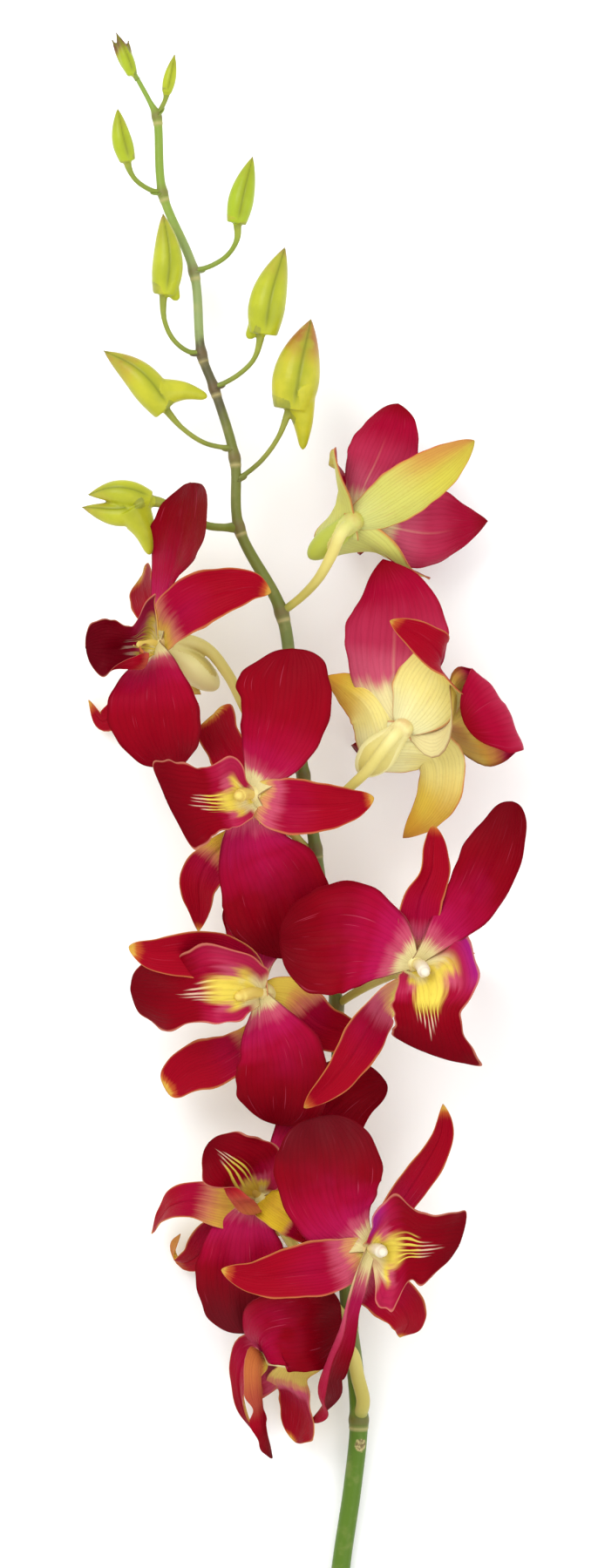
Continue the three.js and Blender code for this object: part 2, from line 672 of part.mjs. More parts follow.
function budRadius(wide) {
  const peak = 0.42;
  const radius = wide / 2;
  return (t) => {
    if (t < peak) return radius * mix(0.42, 1, Math.sin((Math.PI / 2) * (t / peak)));
    return Math.max(radius * (1 - ((t - peak) / (1 - peak)) ** 2.3) ** 0.8, 0.35);
  };
}

const budBody = (body, wide) =>
  solidOf(tubeGeometry(pathThrough(body), budRadius(wide), 7, evenShares(5)));

const budChin = (chin, wide) => {
  const radiusAt = (t) => mix(wide * 0.4, Math.max(0.5, wide * 0.1), t);
  return solidOf(tubeGeometry(pathThrough(chin), radiusAt, 5, evenShares(2)));
};

const budStalk = (stalk, radius) => solidOf(tubeGeometry(pathThrough(stalk), () => radius, 5, evenShares(5)));

function budSolid({ stalk, body, wide, chin }) {
  const pieces = [budStalk(stalk, Math.min(BUD_STALK_RADIUS, wide * 0.2)), budBody(body, wide)];
  if (chin) pieces.push(budChin(chin, wide));
  return cutBy(join(pieces), [roundStem]);
}

function openingBudSolid({ stalk, lobes, chin, wide }) {
  const bodies = lobes.map((lobe) => budBody(lobe.body, lobe.wide));
  return cutBy(join([budStalk(stalk, 0.95), budChin(chin, wide), ...bodies]), [roundStem]);
}

// Flowers

const shifted = (point, way, far) => list(vec(point).addScaledVector(vec(way).normalize(), far));

function dorsalBlade(flower) {
  return {
    points: [behindHeart(flower), ...flower.dorsal.via],
    rows: 6,
    cols: 3,
    width: bladeWidth(flower.dorsal.wide, 0.55, 0.7, 2.6),
    cup: () => flower.dorsal.cup ?? 0.5,
    wave: 0.3,
    face: vec(flower.dorsal.face ?? flower.facing),
  };
}

// A lower sepal starts as wide as the chin's side, and turns to the flower's front towards its tip.
function lateralBlade(flower, lateral) {
  const heart = behindHeart(flower);
  const base = between(heart, flower.chin, CHIN_SHARE);
  const along = vec(lateral.via[0]).sub(base);
  const edge = vec(flower.chin).sub(vec(heart));
  const face = new THREE.Vector3().crossVectors(along, edge);
  if (face.dot(vec(flower.facing)) < 0) face.negate();
  const claw = edge.length() * CHIN_SHARE;
  return {
    points: [list(base), ...lateral.via],
    rows: 6,
    cols: 3,
    width: bladeWidth(lateral.wide, 0.5, lateral.fall ?? 0.8, claw),
    cup: () => lateral.cup ?? 0.45,
    wave: 0.3,
    face,
    tipFace: vec(lateral.face ?? flower.facing),
  };
}

function petalBlade(flower, petal) {
  return {
    points: [flower.heart, ...petal.via],
    rows: 6,
    cols: 5,
    width: bladeWidth(petal.wide, 0.9, petal.fall ?? 0.5, CLAW),
    cup: () => petal.cup ?? 0.3,
    wave: 1.0,
    face: vec(flower.facing),
    tipFace: vec(petal.face ?? flower.facing),
  };
}

function lipBlade(flower) {
  const root = between(flower.heart, flower.chin, LIP_ROOT);
  return {
    points: [shifted(list(root), flower.facing, 2), ...flower.lip.via],
    rows: 9,
    cols: 4,
    spacing: (u) => u,
    width: lipWidth(flower.lip.side, flower.lip.mid),
    cup: lipCup(flower.lip.cup ?? LIP_CUP),
    skew: flower.lip.skew ?? 0,
    wave: 0.8,
    face: vec(flower.facing),
    tipFace: vec(flower.lip.face ?? flower.facing),
  };
}

const sepalBlades = (flower) => [
  dorsalBlade(flower),
  ...flower.laterals.map((one) => lateralBlade(flower, one)),
];

const behindHeart = (flower) => shifted(flower.heart, flower.facing, -HUB_BEHIND);

function hub(flower, grow) {
  const ball = new THREE.IcosahedronGeometry(HUB_RADIUS + grow, 0);
  return solidOf(ball.translate(...behindHeart(flower)));
}

function chinTube(flower, grow) {
  const start = behindHeart(flower);
  const path = pathThrough([start, list(between(start, flower.chin, 0.5)), flower.chin]);
  return solidOf(tubeGeometry(path, (t) => mix(CHIN_RADIUS, CHIN_TIP_RADIUS, t), 6, evenShares(2), grow));
}

function stalkTube(flower, grow) {
  const thin = flower.stalkRadius ?? STALK_RADIUS;
  const thick = Math.max(thin, OVARY_RADIUS);
  const path = pathThrough([...flower.stalk, behindHeart(flower)]);
  return solidOf(tubeGeometry(path, (t) => mix(thin, thick, ease(t)), 5, evenShares(6), grow));
}

function sepalsSolid(flower, grow) {
  const blades = sepalBlades(flower).map((blade) => solidOf(bladeGeometry(blade, grow)));
  return join([hub(flower, grow), stalkTube(flower, grow), chinTube(flower, grow), ...blades]);
}

function columnSolid(flower, grow) {
  const end = shifted(flower.heart, flower.facing, COLUMN_LENGTH);
  const path = pathThrough([flower.heart, list(between(flower.heart, end, 0.5)), end]);
  const radius = (t) => COLUMN_RADIUS * mix(0.8, 1, ease(t)) * (t > 0.99 ? 0.6 : 1);
  return solidOf(tubeGeometry(path, radius, 6, evenShares(2), grow));
}

function flowerSolids(flower) {
  const roundSepals = sepalsSolid(flower, GAP);
  const roundColumn = columnSolid(flower, GAP);
  const blades = flower.petals.map((petal) => petalBlade(flower, petal));
  const roundPetals = blades.map((blade) => solidOf(bladeGeometry(blade, GAP)));
  const petals = blades.map((blade) => solidOf(bladeGeometry(blade)));
  return {
    sepals: cutBy(sepalsSolid(flower, 0), [roundStem, underground]),
    petal_1: cutBy(petals[0], [roundSepals, roundColumn, underground]),
    petal_2: cutBy(petals[1], [roundSepals, roundColumn, roundPetals[0], underground]),
    lip: cutBy(solidOf(bladeGeometry(lipBlade(flower))), [
      roundSepals,
      roundColumn,
      ...roundPetals,
      underground,
    ]),
    column: cutBy(columnSolid(flower, 0), [roundSepals]),
  };
}

// The spray

const spray = new THREE.Group();

function addPiece(name, kind, solid) {
  const paint = new THREE.MeshStandardMaterial({ ...COLOURS[kind], metalness: 0 });
  const mesh = new THREE.Mesh(geometryOf(solid), paint);
  mesh.name = name;
  spray.add(mesh);
}

addPiece('stem', 'stem', stem);
BUDS.forEach((bud, i) => addPiece(`bud_${i + 1}`, 'bud', budSolid(bud)));
addPiece(`bud_${BUDS.length + 1}`, 'bud', openingBudSolid(OPENING_BUD));
FLOWERS.forEach((flower, i) => {
  const solids = flowerSolids(flower);
  Object.entries(solids).forEach(([part, solid]) => {
    addPiece(`flower_${i + 1}_${part}`, part.startsWith('petal') ? 'petal' : part, solid);
  });
});

export default spray;
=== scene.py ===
# %% [markdown]
# # A cut spray of a dendrobium orchid
#
# The spray lies on a pale table and is seen from straight above. A spray is a zigzag stem with
# closed buds towards its tip and open flowers below them. Each flower has three narrow sepals, two
# broad petals, a ruffled lip and a short pale column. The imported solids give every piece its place.
# This lesson grows a finer skin over each one, from the same lines and widths, and then paints it.

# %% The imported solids
import math
from dataclasses import dataclass, field

import bpy
import numpy as np
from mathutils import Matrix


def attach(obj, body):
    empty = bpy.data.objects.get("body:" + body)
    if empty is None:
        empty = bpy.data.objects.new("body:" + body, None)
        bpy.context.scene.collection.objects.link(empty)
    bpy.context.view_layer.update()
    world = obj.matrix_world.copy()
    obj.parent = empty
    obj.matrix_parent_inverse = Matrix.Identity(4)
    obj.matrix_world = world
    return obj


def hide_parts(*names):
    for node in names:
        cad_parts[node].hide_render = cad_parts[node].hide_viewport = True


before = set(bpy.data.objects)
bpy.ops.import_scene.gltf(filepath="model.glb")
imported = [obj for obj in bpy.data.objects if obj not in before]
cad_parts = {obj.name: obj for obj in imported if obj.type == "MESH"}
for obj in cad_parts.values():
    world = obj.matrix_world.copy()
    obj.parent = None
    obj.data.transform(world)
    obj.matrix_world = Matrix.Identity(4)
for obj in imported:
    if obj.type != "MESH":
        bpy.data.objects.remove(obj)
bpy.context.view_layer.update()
print("solids:", len(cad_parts))

# %% [markdown]
# ## The camera
#
# The photograph shows the spray flat on its frame, with hardly any perspective. A long lens four
# metres up gives the same look. The camera points straight down with the tip of the spray at the
# top of the picture. Lengths in this file are millimetres, and they become metres only where a
# mesh, a lamp or the camera is made.

# %% The camera
MM = 0.001
FRAME_MIDDLE = (-1.4, 20.0)  # the point under the middle of the picture
FRAME_HEIGHT = 360.0  # how much of the spray's length the picture holds
FLOWER_LEVEL = 28.0  # the height that is in true scale
CAMERA_DISTANCE = 4000.0
SENSOR_HEIGHT = 36.0


def make_camera():
    data = bpy.data.cameras.new("camera")
    data.sensor_fit = "VERTICAL"
    data.sensor_height = SENSOR_HEIGHT
    data.lens = SENSOR_HEIGHT * CAMERA_DISTANCE / FRAME_HEIGHT
    camera = bpy.data.objects.new("camera", data)
    x, y = FRAME_MIDDLE
    camera.location = (x * MM, y * MM, (FLOWER_LEVEL + CAMERA_DISTANCE) * MM)
    bpy.context.scene.collection.objects.link(camera)
    bpy.context.scene.camera = camera
    return camera


camera = make_camera()
print("lens:", round(camera.data.lens, 1), "mm")

# %% [markdown]
# ## Lines that everything follows
#
# A stem, a stalk and a petal each follow a smooth line through a few points. The line here is a
# centripetal Catmull-Rom curve, which passes through its points without loops, and is the curve
# that the solids were made with. It is measured along its length, so a share of 0.5 is half way
# along.

# %% A smooth path
SAMPLES = 60  # points between two given points
TINY = 1e-9  # a length below which a line has no direction


def length(v):
    return np.linalg.norm(v, axis=-1, keepdims=True)


def unit(v):
    return v / np.maximum(length(v), TINY)


class Path:
    """A smooth line through points, read by its share of the length."""

    def __init__(self, points):
        given = np.array(points, dtype=float)
        before = 2 * given[0] - given[1]
        after = 2 * given[-1] - given[-2]
        ring = np.vstack([before, given, after])
        pieces = [self.piece(*ring[k:k + 4]) for k in range(len(given) - 1)]
        self.line = np.vstack(pieces + [given[-1:]])
        steps = np.linalg.norm(np.diff(self.line, axis=0), axis=1)
        self.far = np.concatenate([[0], np.cumsum(steps)])
        self.length = self.far[-1]

    @staticmethod
    def piece(p0, p1, p2, p3):
        pairs = ((p0, p1), (p1, p2), (p2, p3))
        d0, d1, d2 = [max(float(np.linalg.norm(b - a)) ** 0.5, 1e-4) for a, b in pairs]
        start = ((p1 - p0) / d0 - (p2 - p0) / (d0 + d1) + (p2 - p1) / d1) * d1
        end = ((p2 - p1) / d1 - (p3 - p1) / (d1 + d2) + (p3 - p2) / d2) * d1
        u = np.linspace(0, 1, SAMPLES, endpoint=False)[:, None]
        square, cube = u * u, u * u * u
        spots = p1 * (2 * cube - 3 * square + 1) + start * (cube - 2 * square + u)
        return spots + p2 * (3 * square - 2 * cube) + end * (cube - square)

    def at(self, shares):
        wanted = np.clip(shares, 0, 1) * self.length
        return np.stack([np.interp(wanted, self.far, self.line[:, k]) for k in range(3)], axis=-1)

    def along(self, shares):
        step = 0.5 / len(self.line)
        return unit(self.at(np.clip(shares + step, 0, 1)) - self.at(np.clip(shares - step, 0, 1)))


# %% [markdown]
# A petal also needs to know which way it faces at each place. The facing is carried along the path
# without twisting. Then the whole petal is turned bit by bit, until its tip faces the way that the
# real one does.

# %% Frames along a path
def ease(t):
    t = np.clip(t, 0, 1)
    return t * t * (3 - 2 * t)


def mix(a, b, t):
    return a + (b - a) * t


def turned(v, axis, angle):
    """Turns v about the unit axis."""
    cos, sin = np.cos(angle), np.sin(angle)
    return v * cos + np.cross(axis, v) * sin + axis * np.dot(axis, v) * (1 - cos)


def squared(v, axis):
    v = np.asarray(v, dtype=float)
    return unit(v - axis * np.dot(v, axis))


def frames_along(path, shares, face, tip_face=None, turn=(0, 0.5)):
    """The place, the way along, the way it faces and the way across, at each share."""
    places, ways = path.at(shares), path.along(shares)
    facing = [squared(face, ways[0])]
    for before, after in zip(ways, ways[1:]):
        axis = np.cross(before, after)
        size = np.linalg.norm(axis)
        carried = facing[-1]
        if size > TINY:
            carried = turned(carried, axis / size, math.atan2(size, float(np.dot(before, after))))
        facing.append(squared(carried, after))
    facing = np.array(facing)
    if tip_face is not None:
        facing = turn_towards(ways, facing, ease((shares - turn[0]) / (turn[1] - turn[0])), tip_face)
    return places, ways, facing, np.cross(ways, facing)


def turn_towards(ways, facing, parts, tip_face):
    """Turns the frames by the given parts of the turn that the last one needs."""
    last, end = facing[-1], ways[-1]
    wanted = squared(tip_face, end)
    angle = math.atan2(float(np.dot(np.cross(last, wanted), end)), float(np.dot(last, wanted)))
    return np.array([turned(f, way, angle * part) for f, way, part in zip(facing, ways, parts)])


# %% [markdown]
# ## From points to a piece
#
# Every skin below ends as one mesh at the origin, with its place in its points. A UV map named leaf
# holds where a point lies on the piece, across and along, so that veins and edges can be painted on
# it. Float attributes hold whatever else a paint needs to know.

# %% Mesh helpers
LEAF = "leaf"


def mesh_object(name, points, faces, leaf=None, notes=None):
    mesh = bpy.data.meshes.new(name)
    mesh.from_pydata((np.asarray(points) * MM).tolist(), [], faces)
    mesh.polygons.foreach_set("use_smooth", [True] * len(mesh.polygons))
    if leaf is not None:
        corners = np.zeros(len(mesh.loops), dtype=np.int32)
        mesh.loops.foreach_get("vertex_index", corners)
        layer = mesh.uv_layers.new(name=LEAF)
        layer.data.foreach_set("uv", np.asarray(leaf, dtype=np.float32)[corners].ravel())
    for note, values in (notes or {}).items():
        write_note(mesh, note, values)
    mesh.update()
    piece = bpy.data.objects.new(name, mesh)
    bpy.context.scene.collection.objects.link(piece)
    return piece


def write_note(mesh, note, values):
    attribute = mesh.attributes.new(note, "FLOAT", "POINT")
    attribute.data.foreach_set("value", np.asarray(values, dtype=np.float32))


def points_of(piece):
    spots = np.zeros(len(piece.data.vertices) * 3)
    piece.data.vertices.foreach_get("co", spots)
    return spots.reshape(-1, 3) / MM


def applied(piece):
    """Gives the piece the mesh that its modifiers make, and takes them off."""
    graph = bpy.context.evaluated_depsgraph_get()
    made = bpy.data.meshes.new_from_object(piece.evaluated_get(graph))
    piece.modifiers.clear()
    old, piece.data = piece.data, made
    bpy.data.meshes.remove(old)
    made.polygons.foreach_set("use_smooth", [True] * len(made.polygons))
    return piece


def finish_piece(piece, nodes, paint):
    piece.data.materials.clear()
    piece.data.materials.append(paint)
    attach(piece, "root")
    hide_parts(*nodes)


# %% [markdown]
# ## Paint
#
# A petal is not one colour. It runs from cream at the heart through magenta to crimson, its edge is
# darker or has a thin yellow line, and fine veins run along it. Each of these is a small sum on the
# place along and across the petal. The class below wraps a socket, so such a sum can be written as
# plain Python, and each operator adds its Math node.

# %% Sockets as numbers
class Number:
    """A value socket that can be used in sums."""

    def __init__(self, tree, socket):
        self.tree = tree
        self.socket = socket

    def math(self, operation, *others):
        node = self.tree.nodes.new("ShaderNodeMath")
        node.operation = operation
        for k, value in enumerate((self, *others)):
            if isinstance(value, Number):
                self.tree.links.new(value.socket, node.inputs[k])
            else:
                node.inputs[k].default_value = value
        return Number(self.tree, node.outputs[0])

    def __add__(self, other):
        return self.math("ADD", other)

    __radd__ = __add__

    def __sub__(self, other):
        return self.math("SUBTRACT", other)

    def __rsub__(self, other):
        return self.math("MULTIPLY", -1.0).math("ADD", other)

    def __mul__(self, other):
        return self.math("MULTIPLY", other)

    __rmul__ = __mul__

    def __truediv__(self, other):
        return self.math("DIVIDE", other)

    def __pow__(self, other):
        return self.math("POWER", other)

    def __abs__(self):
        return self.math("ABSOLUTE")

    def sine(self):
        return self.math("SINE")

    def rises(self, low, high):
        """0 below low, 1 above high, and a smooth step between. It falls where low is above high."""
        node = self.tree.nodes.new("ShaderNodeMapRange")
        node.interpolation_type = "SMOOTHSTEP"
        self.tree.links.new(self.socket, node.inputs["Value"])
        flip = low > high
        node.inputs["From Min"].default_value = min(low, high)
        node.inputs["From Max"].default_value = max(low, high)
        node.inputs["To Min"].default_value = 1.0 if flip else 0.0
        node.inputs["To Max"].default_value = 0.0 if flip else 1.0
        return Number(self.tree, node.outputs["Result"])


# %% [markdown]
# A paint is a material with one Principled shader. Its colours are given on the 0 to 255
# scale of a screen, and turned into the linear values that the renderer works in.

# %% A paint
STUDIO = 1.3  # the light on a white surface, where 1 is a screen's white
MIX_AMOUNT, MIX_BELOW, MIX_ABOVE, MIX_RESULT = 0, 6, 7, 2  # the sockets of a Mix node for colours


def tone(red, green, blue):
    """The paint that shows a screen colour in the light of the studio, by the curve of a screen."""
    screen = np.array([red, green, blue]) / 255
    light = np.where(screen <= 0.04045, screen / 12.92, ((screen + 0.055) / 1.055) ** 2.4)
    return (*[float(v) / STUDIO for v in light], 1.0)


class Paint:
    """A material whose nodes are added one by one."""

    def __init__(self, name):
        self.material = bpy.data.materials.new(name)
        self.material.use_nodes = True
        self.tree = self.material.node_tree
        self.shader = self.tree.nodes["Principled BSDF"]

    def node(self, kind, settings=None, inputs=None):
        node = self.tree.nodes.new(kind)
        for key, value in (settings or {}).items():
            setattr(node, key, value)
        for key, value in (inputs or {}).items():
            self.feed(node.inputs[key], value)
        return node

    def feed(self, socket, value):
        if isinstance(value, Number):
            self.tree.links.new(value.socket, socket)
        elif isinstance(value, bpy.types.NodeSocket):
            self.tree.links.new(value, socket)
        else:
            socket.default_value = value

    def number(self, socket):
        return Number(self.tree, socket)

    def note(self, name):
        """A float attribute of the mesh."""
        node = self.node("ShaderNodeAttribute", {"attribute_name": name})
        return self.number(node.outputs["Fac"])

    def leaf(self):
        """The place on the piece: from -1 to 1 across it, and from 0 to 1 along it."""
        where = self.node("ShaderNodeUVMap", {"uv_map": LEAF}).outputs["UV"]
        parts = self.node("ShaderNodeSeparateXYZ", inputs={"Vector": where})
        return self.number(parts.outputs["X"]) * 2 - 1, self.number(parts.outputs["Y"])

    def vector(self, x, y, z):
        parts = {"X": x, "Y": y, "Z": z}
        return self.node("ShaderNodeCombineXYZ", inputs=parts).outputs["Vector"]

    def place(self):
        return self.node("ShaderNodeTexCoord").outputs["Object"]

    def noise(self, where, scale, detail=2.0, rough=0.5):
        node = self.node("ShaderNodeTexNoise", inputs={
            "Vector": where, "Scale": scale, "Detail": detail, "Roughness": rough})
        return self.number(node.outputs["Fac"])

    def blend(self, amount, below, above):
        """The colour below, covered by the colour above where amount is 1."""
        node = self.node("ShaderNodeMix", {"data_type": "RGBA"})
        self.feed(node.inputs[MIX_AMOUNT], amount)
        self.feed(node.inputs[MIX_BELOW], below)
        self.feed(node.inputs[MIX_ABOVE], above)
        return node.outputs[MIX_RESULT]

    def ramp(self, where, stops):
        """Colours that follow each other, each given with the value where it is pure."""
        node = self.node("ShaderNodeValToRGB")
        band = node.color_ramp
        band.interpolation = "EASE"
        while len(band.elements) < len(stops):
            band.elements.new(0.5)
        for element, (place, colour) in zip(band.elements, stops):
            element.position = place
            element.color = colour
        self.feed(node.inputs["Fac"], where)
        return node.outputs["Color"]

    def bump(self, height, depth):
        """Turns a height into a bump, where depth is how many millimetres a height of 1 stands for."""
        settings = {"Height": height, "Distance": depth * MM, "Strength": 1.0}
        node = self.node("ShaderNodeBump", inputs=settings)
        self.feed(self.shader.inputs["Normal"], node.outputs["Normal"])

    def set(self, **values):
        """Feeds the shader's own sockets. Base Color is written base_color here."""
        for key, value in values.items():
            name = key.replace("_", " ").title().replace("Ior", "IOR")
            self.feed(self.shader.inputs[name], value)


# %% [markdown]
# ### What all tissue shares
#
# Petals, sepals and lips are made of the same thin tissue. Long streaks run through its colours, soft
# clouds lie over them, fine veins follow its length, and close by there are flecks and a velvet
# grain. All of them could be painted on an image, but an image has a fixed size and a seam. Noise
# textures have neither, so the class below makes each of these marks from a noise or a sine.

# %% The marks of tissue
CREAM = tone(242, 228, 164)
PINK = tone(206, 84, 112)
MAGENTA = tone(180, 18, 76)
ROSE = tone(162, 4, 46)
RED = tone(160, 4, 30)
CRIMSON = tone(138, 0, 20)
DEEP_RED = tone(112, 0, 14)
MAROON = tone(80, 0, 14)
STREAKS, STREAK_STRETCH = 11.0, 2.2  # how many streaks fit in half of the width, and in the length
VEINS = 26.0  # how finely the veins divide half of the width, in radians
VEIN_SHARPNESS = 10.0
FLECK_SCALE = 900.0
GRAIN_SCALE = 2600.0
TISSUE_ROUGHNESS = 0.42
TISSUE_SHINE = 0.03  # tissue reflects little, so its reds stay deep


class TissuePaint(Paint):
    """The paint of a sheet of tissue, with the place on the sheet and the marks there."""

    def __init__(self, name, cloud_scale):
        super().__init__(name)
        self.across, self.along = self.leaf()
        self.side = abs(self.across)
        self.seed = self.note("seed")
        self.streak = self.lengthwise(STREAKS, STREAK_STRETCH, 9.0, 3.0, 0.6)
        self.cloud = self.noise(self.place(), cloud_scale)
        self.veins = self.vein_lines()

    def lengthwise(self, across, along, shift, detail, rough=0.5):
        """A noise drawn out along the sheet. The seed of each sheet shifts it to another place."""
        where = self.vector(self.across * across, self.along * along, self.seed * shift)
        return self.noise(where, 1.0, detail, rough)

    def vein_lines(self):
        """Thin lines that run along the piece, a little apart and not quite straight."""
        lines = (self.across * VEINS + self.streak * 5.0 + self.along * 1.5).sine()
        return abs(lines) ** VEIN_SHARPNESS

    def veined(self, colour, strength):
        """A colour that is darker on the veins."""
        return self.blend(self.veins * strength, colour, self.blend(0.5, colour, MAROON))

    def velvet(self, colour):
        """Gives the shader a colour with fine flecks on it, and a gloss that is uneven with them."""
        fleck = self.noise(self.place(), FLECK_SCALE, 3.0, 0.7)
        flecked = self.blend(fleck.rises(0.5, 0.8) * 0.10, colour, ROSE)
        rough = TISSUE_ROUGHNESS + (fleck - 0.5) * 0.25
        self.set(base_color=flecked, roughness=rough, specular_ior_level=TISSUE_SHINE)

    def grain(self):
        return self.noise(self.place(), GRAIN_SCALE)


# %% [markdown]
# ### Petals and sepals
#
# The front and the back of a petal have their own colours, and a note named front says which side a
# point is on. Each side has a ramp of colours from the heart to the tip, whose borders are frayed by
# the streaks and clouds. The rim has a colour of its own. Other notes say how a petal differs from
# the rest: how far its pale base reaches, and how sunny, golden, glowing, dull, lime or blushed it is.

# %% The paint of petals and sepals
PALE_YELLOW = tone(240, 214, 110)
SUNNY = tone(240, 204, 48)
APRICOT = tone(230, 158, 112)
GOLD = tone(214, 146, 66)
ORANGE = tone(196, 84, 42)
FADED_ROSE = tone(186, 46, 80)
DULL = tone(96, 22, 30)
BLUSH = tone(200, 116, 70)
TIP_YELLOW = tone(232, 182, 78)
PALE_GOLD = tone(218, 146, 84)
LIME_CREAM = tone(188, 196, 74)
IVORY = tone(246, 240, 180)
BUTTER = tone(246, 230, 140)
CORN = tone(246, 210, 80)
AMBER = tone(240, 180, 62)
EMBER = tone(206, 96, 56)
# painted highlight: the pale scratches stand for the glints of the velvet
GLINT_SCRATCHES = 30.0  # how many pale scratches fit in half of the width
LEAF_RELIEF = 0.10  # depth of the bump of veins and streaks


def leaf_front(paint, frayed, stops, glow):
    """The front: the ramp, a sunny base, a golden tip, a magenta glow in the middle or dull red."""
    shown = paint.note("glow")
    middle = (1 - paint.side) * paint.along.rises(0.12, 0.3) * paint.along.rises(0.75, 0.4)
    middle = middle * paint.cloud.rises(0.3, 0.7)
    front = paint.ramp(frayed, stops)
    front = paint.blend(paint.note("sunny") * frayed.rises(0.34, 0.14), front, SUNNY)
    front = paint.blend(paint.note("gold") * frayed.rises(0.72, 0.88) * 0.85, front, GOLD)
    front = paint.blend(middle * glow * shown, front, MAGENTA)
    front = paint.blend((1 - shown) * paint.along.rises(0.12, 0.2) * 0.6, front, RED)
    return paint.blend(paint.note("dull") * frayed.rises(0.45, 0.95) * 0.8, front, DULL)


def leaf_back(paint, frayed, stops):
    """The back: the ramp, a cream rib along its middle, a lime tint, or a blush on its right half."""
    rib = paint.side.rises(0.05, 0.0) * paint.along.rises(0.75, 0.2)
    right_half = (paint.across + (paint.streak - 0.5) * 0.3).rises(-0.4, 0.7)
    back = paint.ramp(frayed, stops)
    back = paint.blend(rib * 0.22, back, CREAM)
    back = paint.blend(paint.note("lime") * 0.6, back, LIME_CREAM)
    flush = frayed.rises(0.3, 0.7) * right_half
    return paint.blend(paint.note("blush") * flush, back, BLUSH)


def leaf_paint(name, front, back, rim, back_rim, glow):
    """A paint from ramps for the front and the back, and a colour and a strength for each rim."""
    paint = TissuePaint(name, 140.0)
    base = paint.note("base")  # how much further the pale base reaches than usual
    frayed = (paint.along - base) / (1 - base) + (paint.streak - 0.5) * 0.13 + (paint.cloud - 0.5) * 0.10
    edge = (paint.side + (paint.cloud - 0.5) * 0.10).rises(0.91, 0.99)
    upper = paint.blend(edge * rim[1], leaf_front(paint, frayed, front, glow), rim[0])
    under = paint.blend(edge * back_rim[1], leaf_back(paint, frayed, back), back_rim[0])
    colour = paint.veined(paint.blend(paint.note("front"), under, upper), 0.22)
    # painted highlight: pale pink scratches along the sheet stand for the glints of the velvet
    glint_scratch = paint.lengthwise(GLINT_SCRATCHES, 3.0, 4.0, 1.0)
    paint.velvet(paint.blend(glint_scratch.rises(0.70, 0.76) * 0.32, colour, PINK))
    paint.bump(paint.veins * -0.35 + paint.streak * 0.8 + paint.grain() * 0.35, LEAF_RELIEF)
    return paint.material


petal_paint = leaf_paint(
    "petal velvet",
    front=[(0.0, CREAM), (0.09, CREAM), (0.17, PINK), (0.26, MAGENTA), (0.40, ROSE), (0.56, CRIMSON),
           (1.0, DEEP_RED)],
    back=[(0.0, CREAM), (0.14, CREAM), (0.28, PINK), (0.50, FADED_ROSE), (0.80, ROSE), (1.0, CRIMSON)],
    rim=(DEEP_RED, 0.7),
    back_rim=(CRIMSON, 0.5),
    glow=0.6,
)

sepal_paint = leaf_paint(
    "sepal velvet",
    front=[(0.0, PALE_YELLOW), (0.07, PALE_YELLOW), (0.13, APRICOT), (0.21, PINK), (0.34, ROSE),
           (0.60, RED), (0.91, RED), (0.955, ORANGE), (0.99, TIP_YELLOW)],
    back=[(0.0, IVORY), (0.35, BUTTER), (0.7, CORN), (0.92, AMBER), (1.0, GOLD)],
    rim=(PALE_GOLD, 0.5),
    back_rim=(EMBER, 0.7),
    glow=0.3,
)
print("nodes of the sepal paint:", len(sepal_paint.node_tree.nodes))

# %% [markdown]
# ### The lip
#
# The lip is the showiest part. Its throat is yellow, and the yellow runs out over the middle lobe in
# a feather of pale streaks. The lobes round it are dark crimson with finer veins, and their outsides
# are orange at the base. The feather is a sine across the lip, cut off where two distances say: how
# far from the middle line a point is, and how much of the feather's length is still ahead of it.

# %% The paint of a lip
YELLOW = tone(244, 220, 88)
LOBE_ROSE = tone(182, 34, 74)
PURPLE = tone(150, 20, 150)
FEATHER_PINK = tone(236, 196, 170)
SALMON = tone(226, 150, 120)
COPPER = tone(212, 124, 66)
BRICK = tone(182, 78, 58)
LIP_INSIDE = [(0.0, CREAM), (0.10, CREAM), (0.20, YELLOW), (0.30, PINK), (0.40, ROSE), (0.52, CRIMSON),
              (1.0, DEEP_RED)]
LIP_OUTSIDE = [(0.0, YELLOW), (0.14, COPPER), (0.42, BRICK), (0.6, RED), (0.75, CRIMSON), (1.0, DEEP_RED)]
FEATHERS = 60.0  # how finely the feather is divided
LIP_RELIEF = 0.14  # depth of the bump of the feather, veins and streaks


def lip_lobes(paint, frayed):
    """The lobes: crimson, rosier at the sides, with magenta clouds and on some a purple patch."""
    sides = paint.side.rises(0.45, 0.7) * paint.along.rises(0.03, 0.12) * paint.along.rises(0.5, 0.3)
    clouds = paint.cloud.rises(0.45, 0.8) * paint.along.rises(0.6, 0.3)
    patch = paint.across.rises(-0.6, -0.95) * paint.along.rises(0.14, 0.2) * paint.along.rises(0.44, 0.3)
    lobes = paint.ramp(frayed, LIP_INSIDE)
    lobes = paint.blend(sides, lobes, LOBE_ROSE)
    lobes = paint.blend(clouds * 0.5, lobes, MAGENTA)
    return paint.blend(patch * paint.note("purple"), lobes, PURPLE)


def with_throat(paint, lobes, slim_side, ahead):
    """The lobes with the plain yellow of the throat, which goes over into cream."""
    near = (slim_side + (paint.streak - 0.5) * 0.4).rises(0.50, 0.22)
    disc = near * (ahead + (paint.streak - 0.5) * 0.2).rises(-0.08, 0.08)
    cream = paint.cloud.rises(0.45, 0.6) * paint.along.rises(0.3, 0.1)
    return paint.blend(disc, lobes, paint.blend(cream, YELLOW, CREAM))


def feather_of(paint, slim_side, ahead, left_over):
    """Where the pale streaks of the feather lie, from 0 to 1."""
    comb = (paint.across * FEATHERS + (paint.streak - 0.5) * 6.0).sine()
    reached = (left_over - slim_side * 0.5 + (paint.streak - 0.5) * 0.3).rises(0.0, 0.10)
    return comb.rises(0.0, 0.7) * reached * slim_side.rises(0.42, 0.30) * ahead.rises(0.1, 0.0)


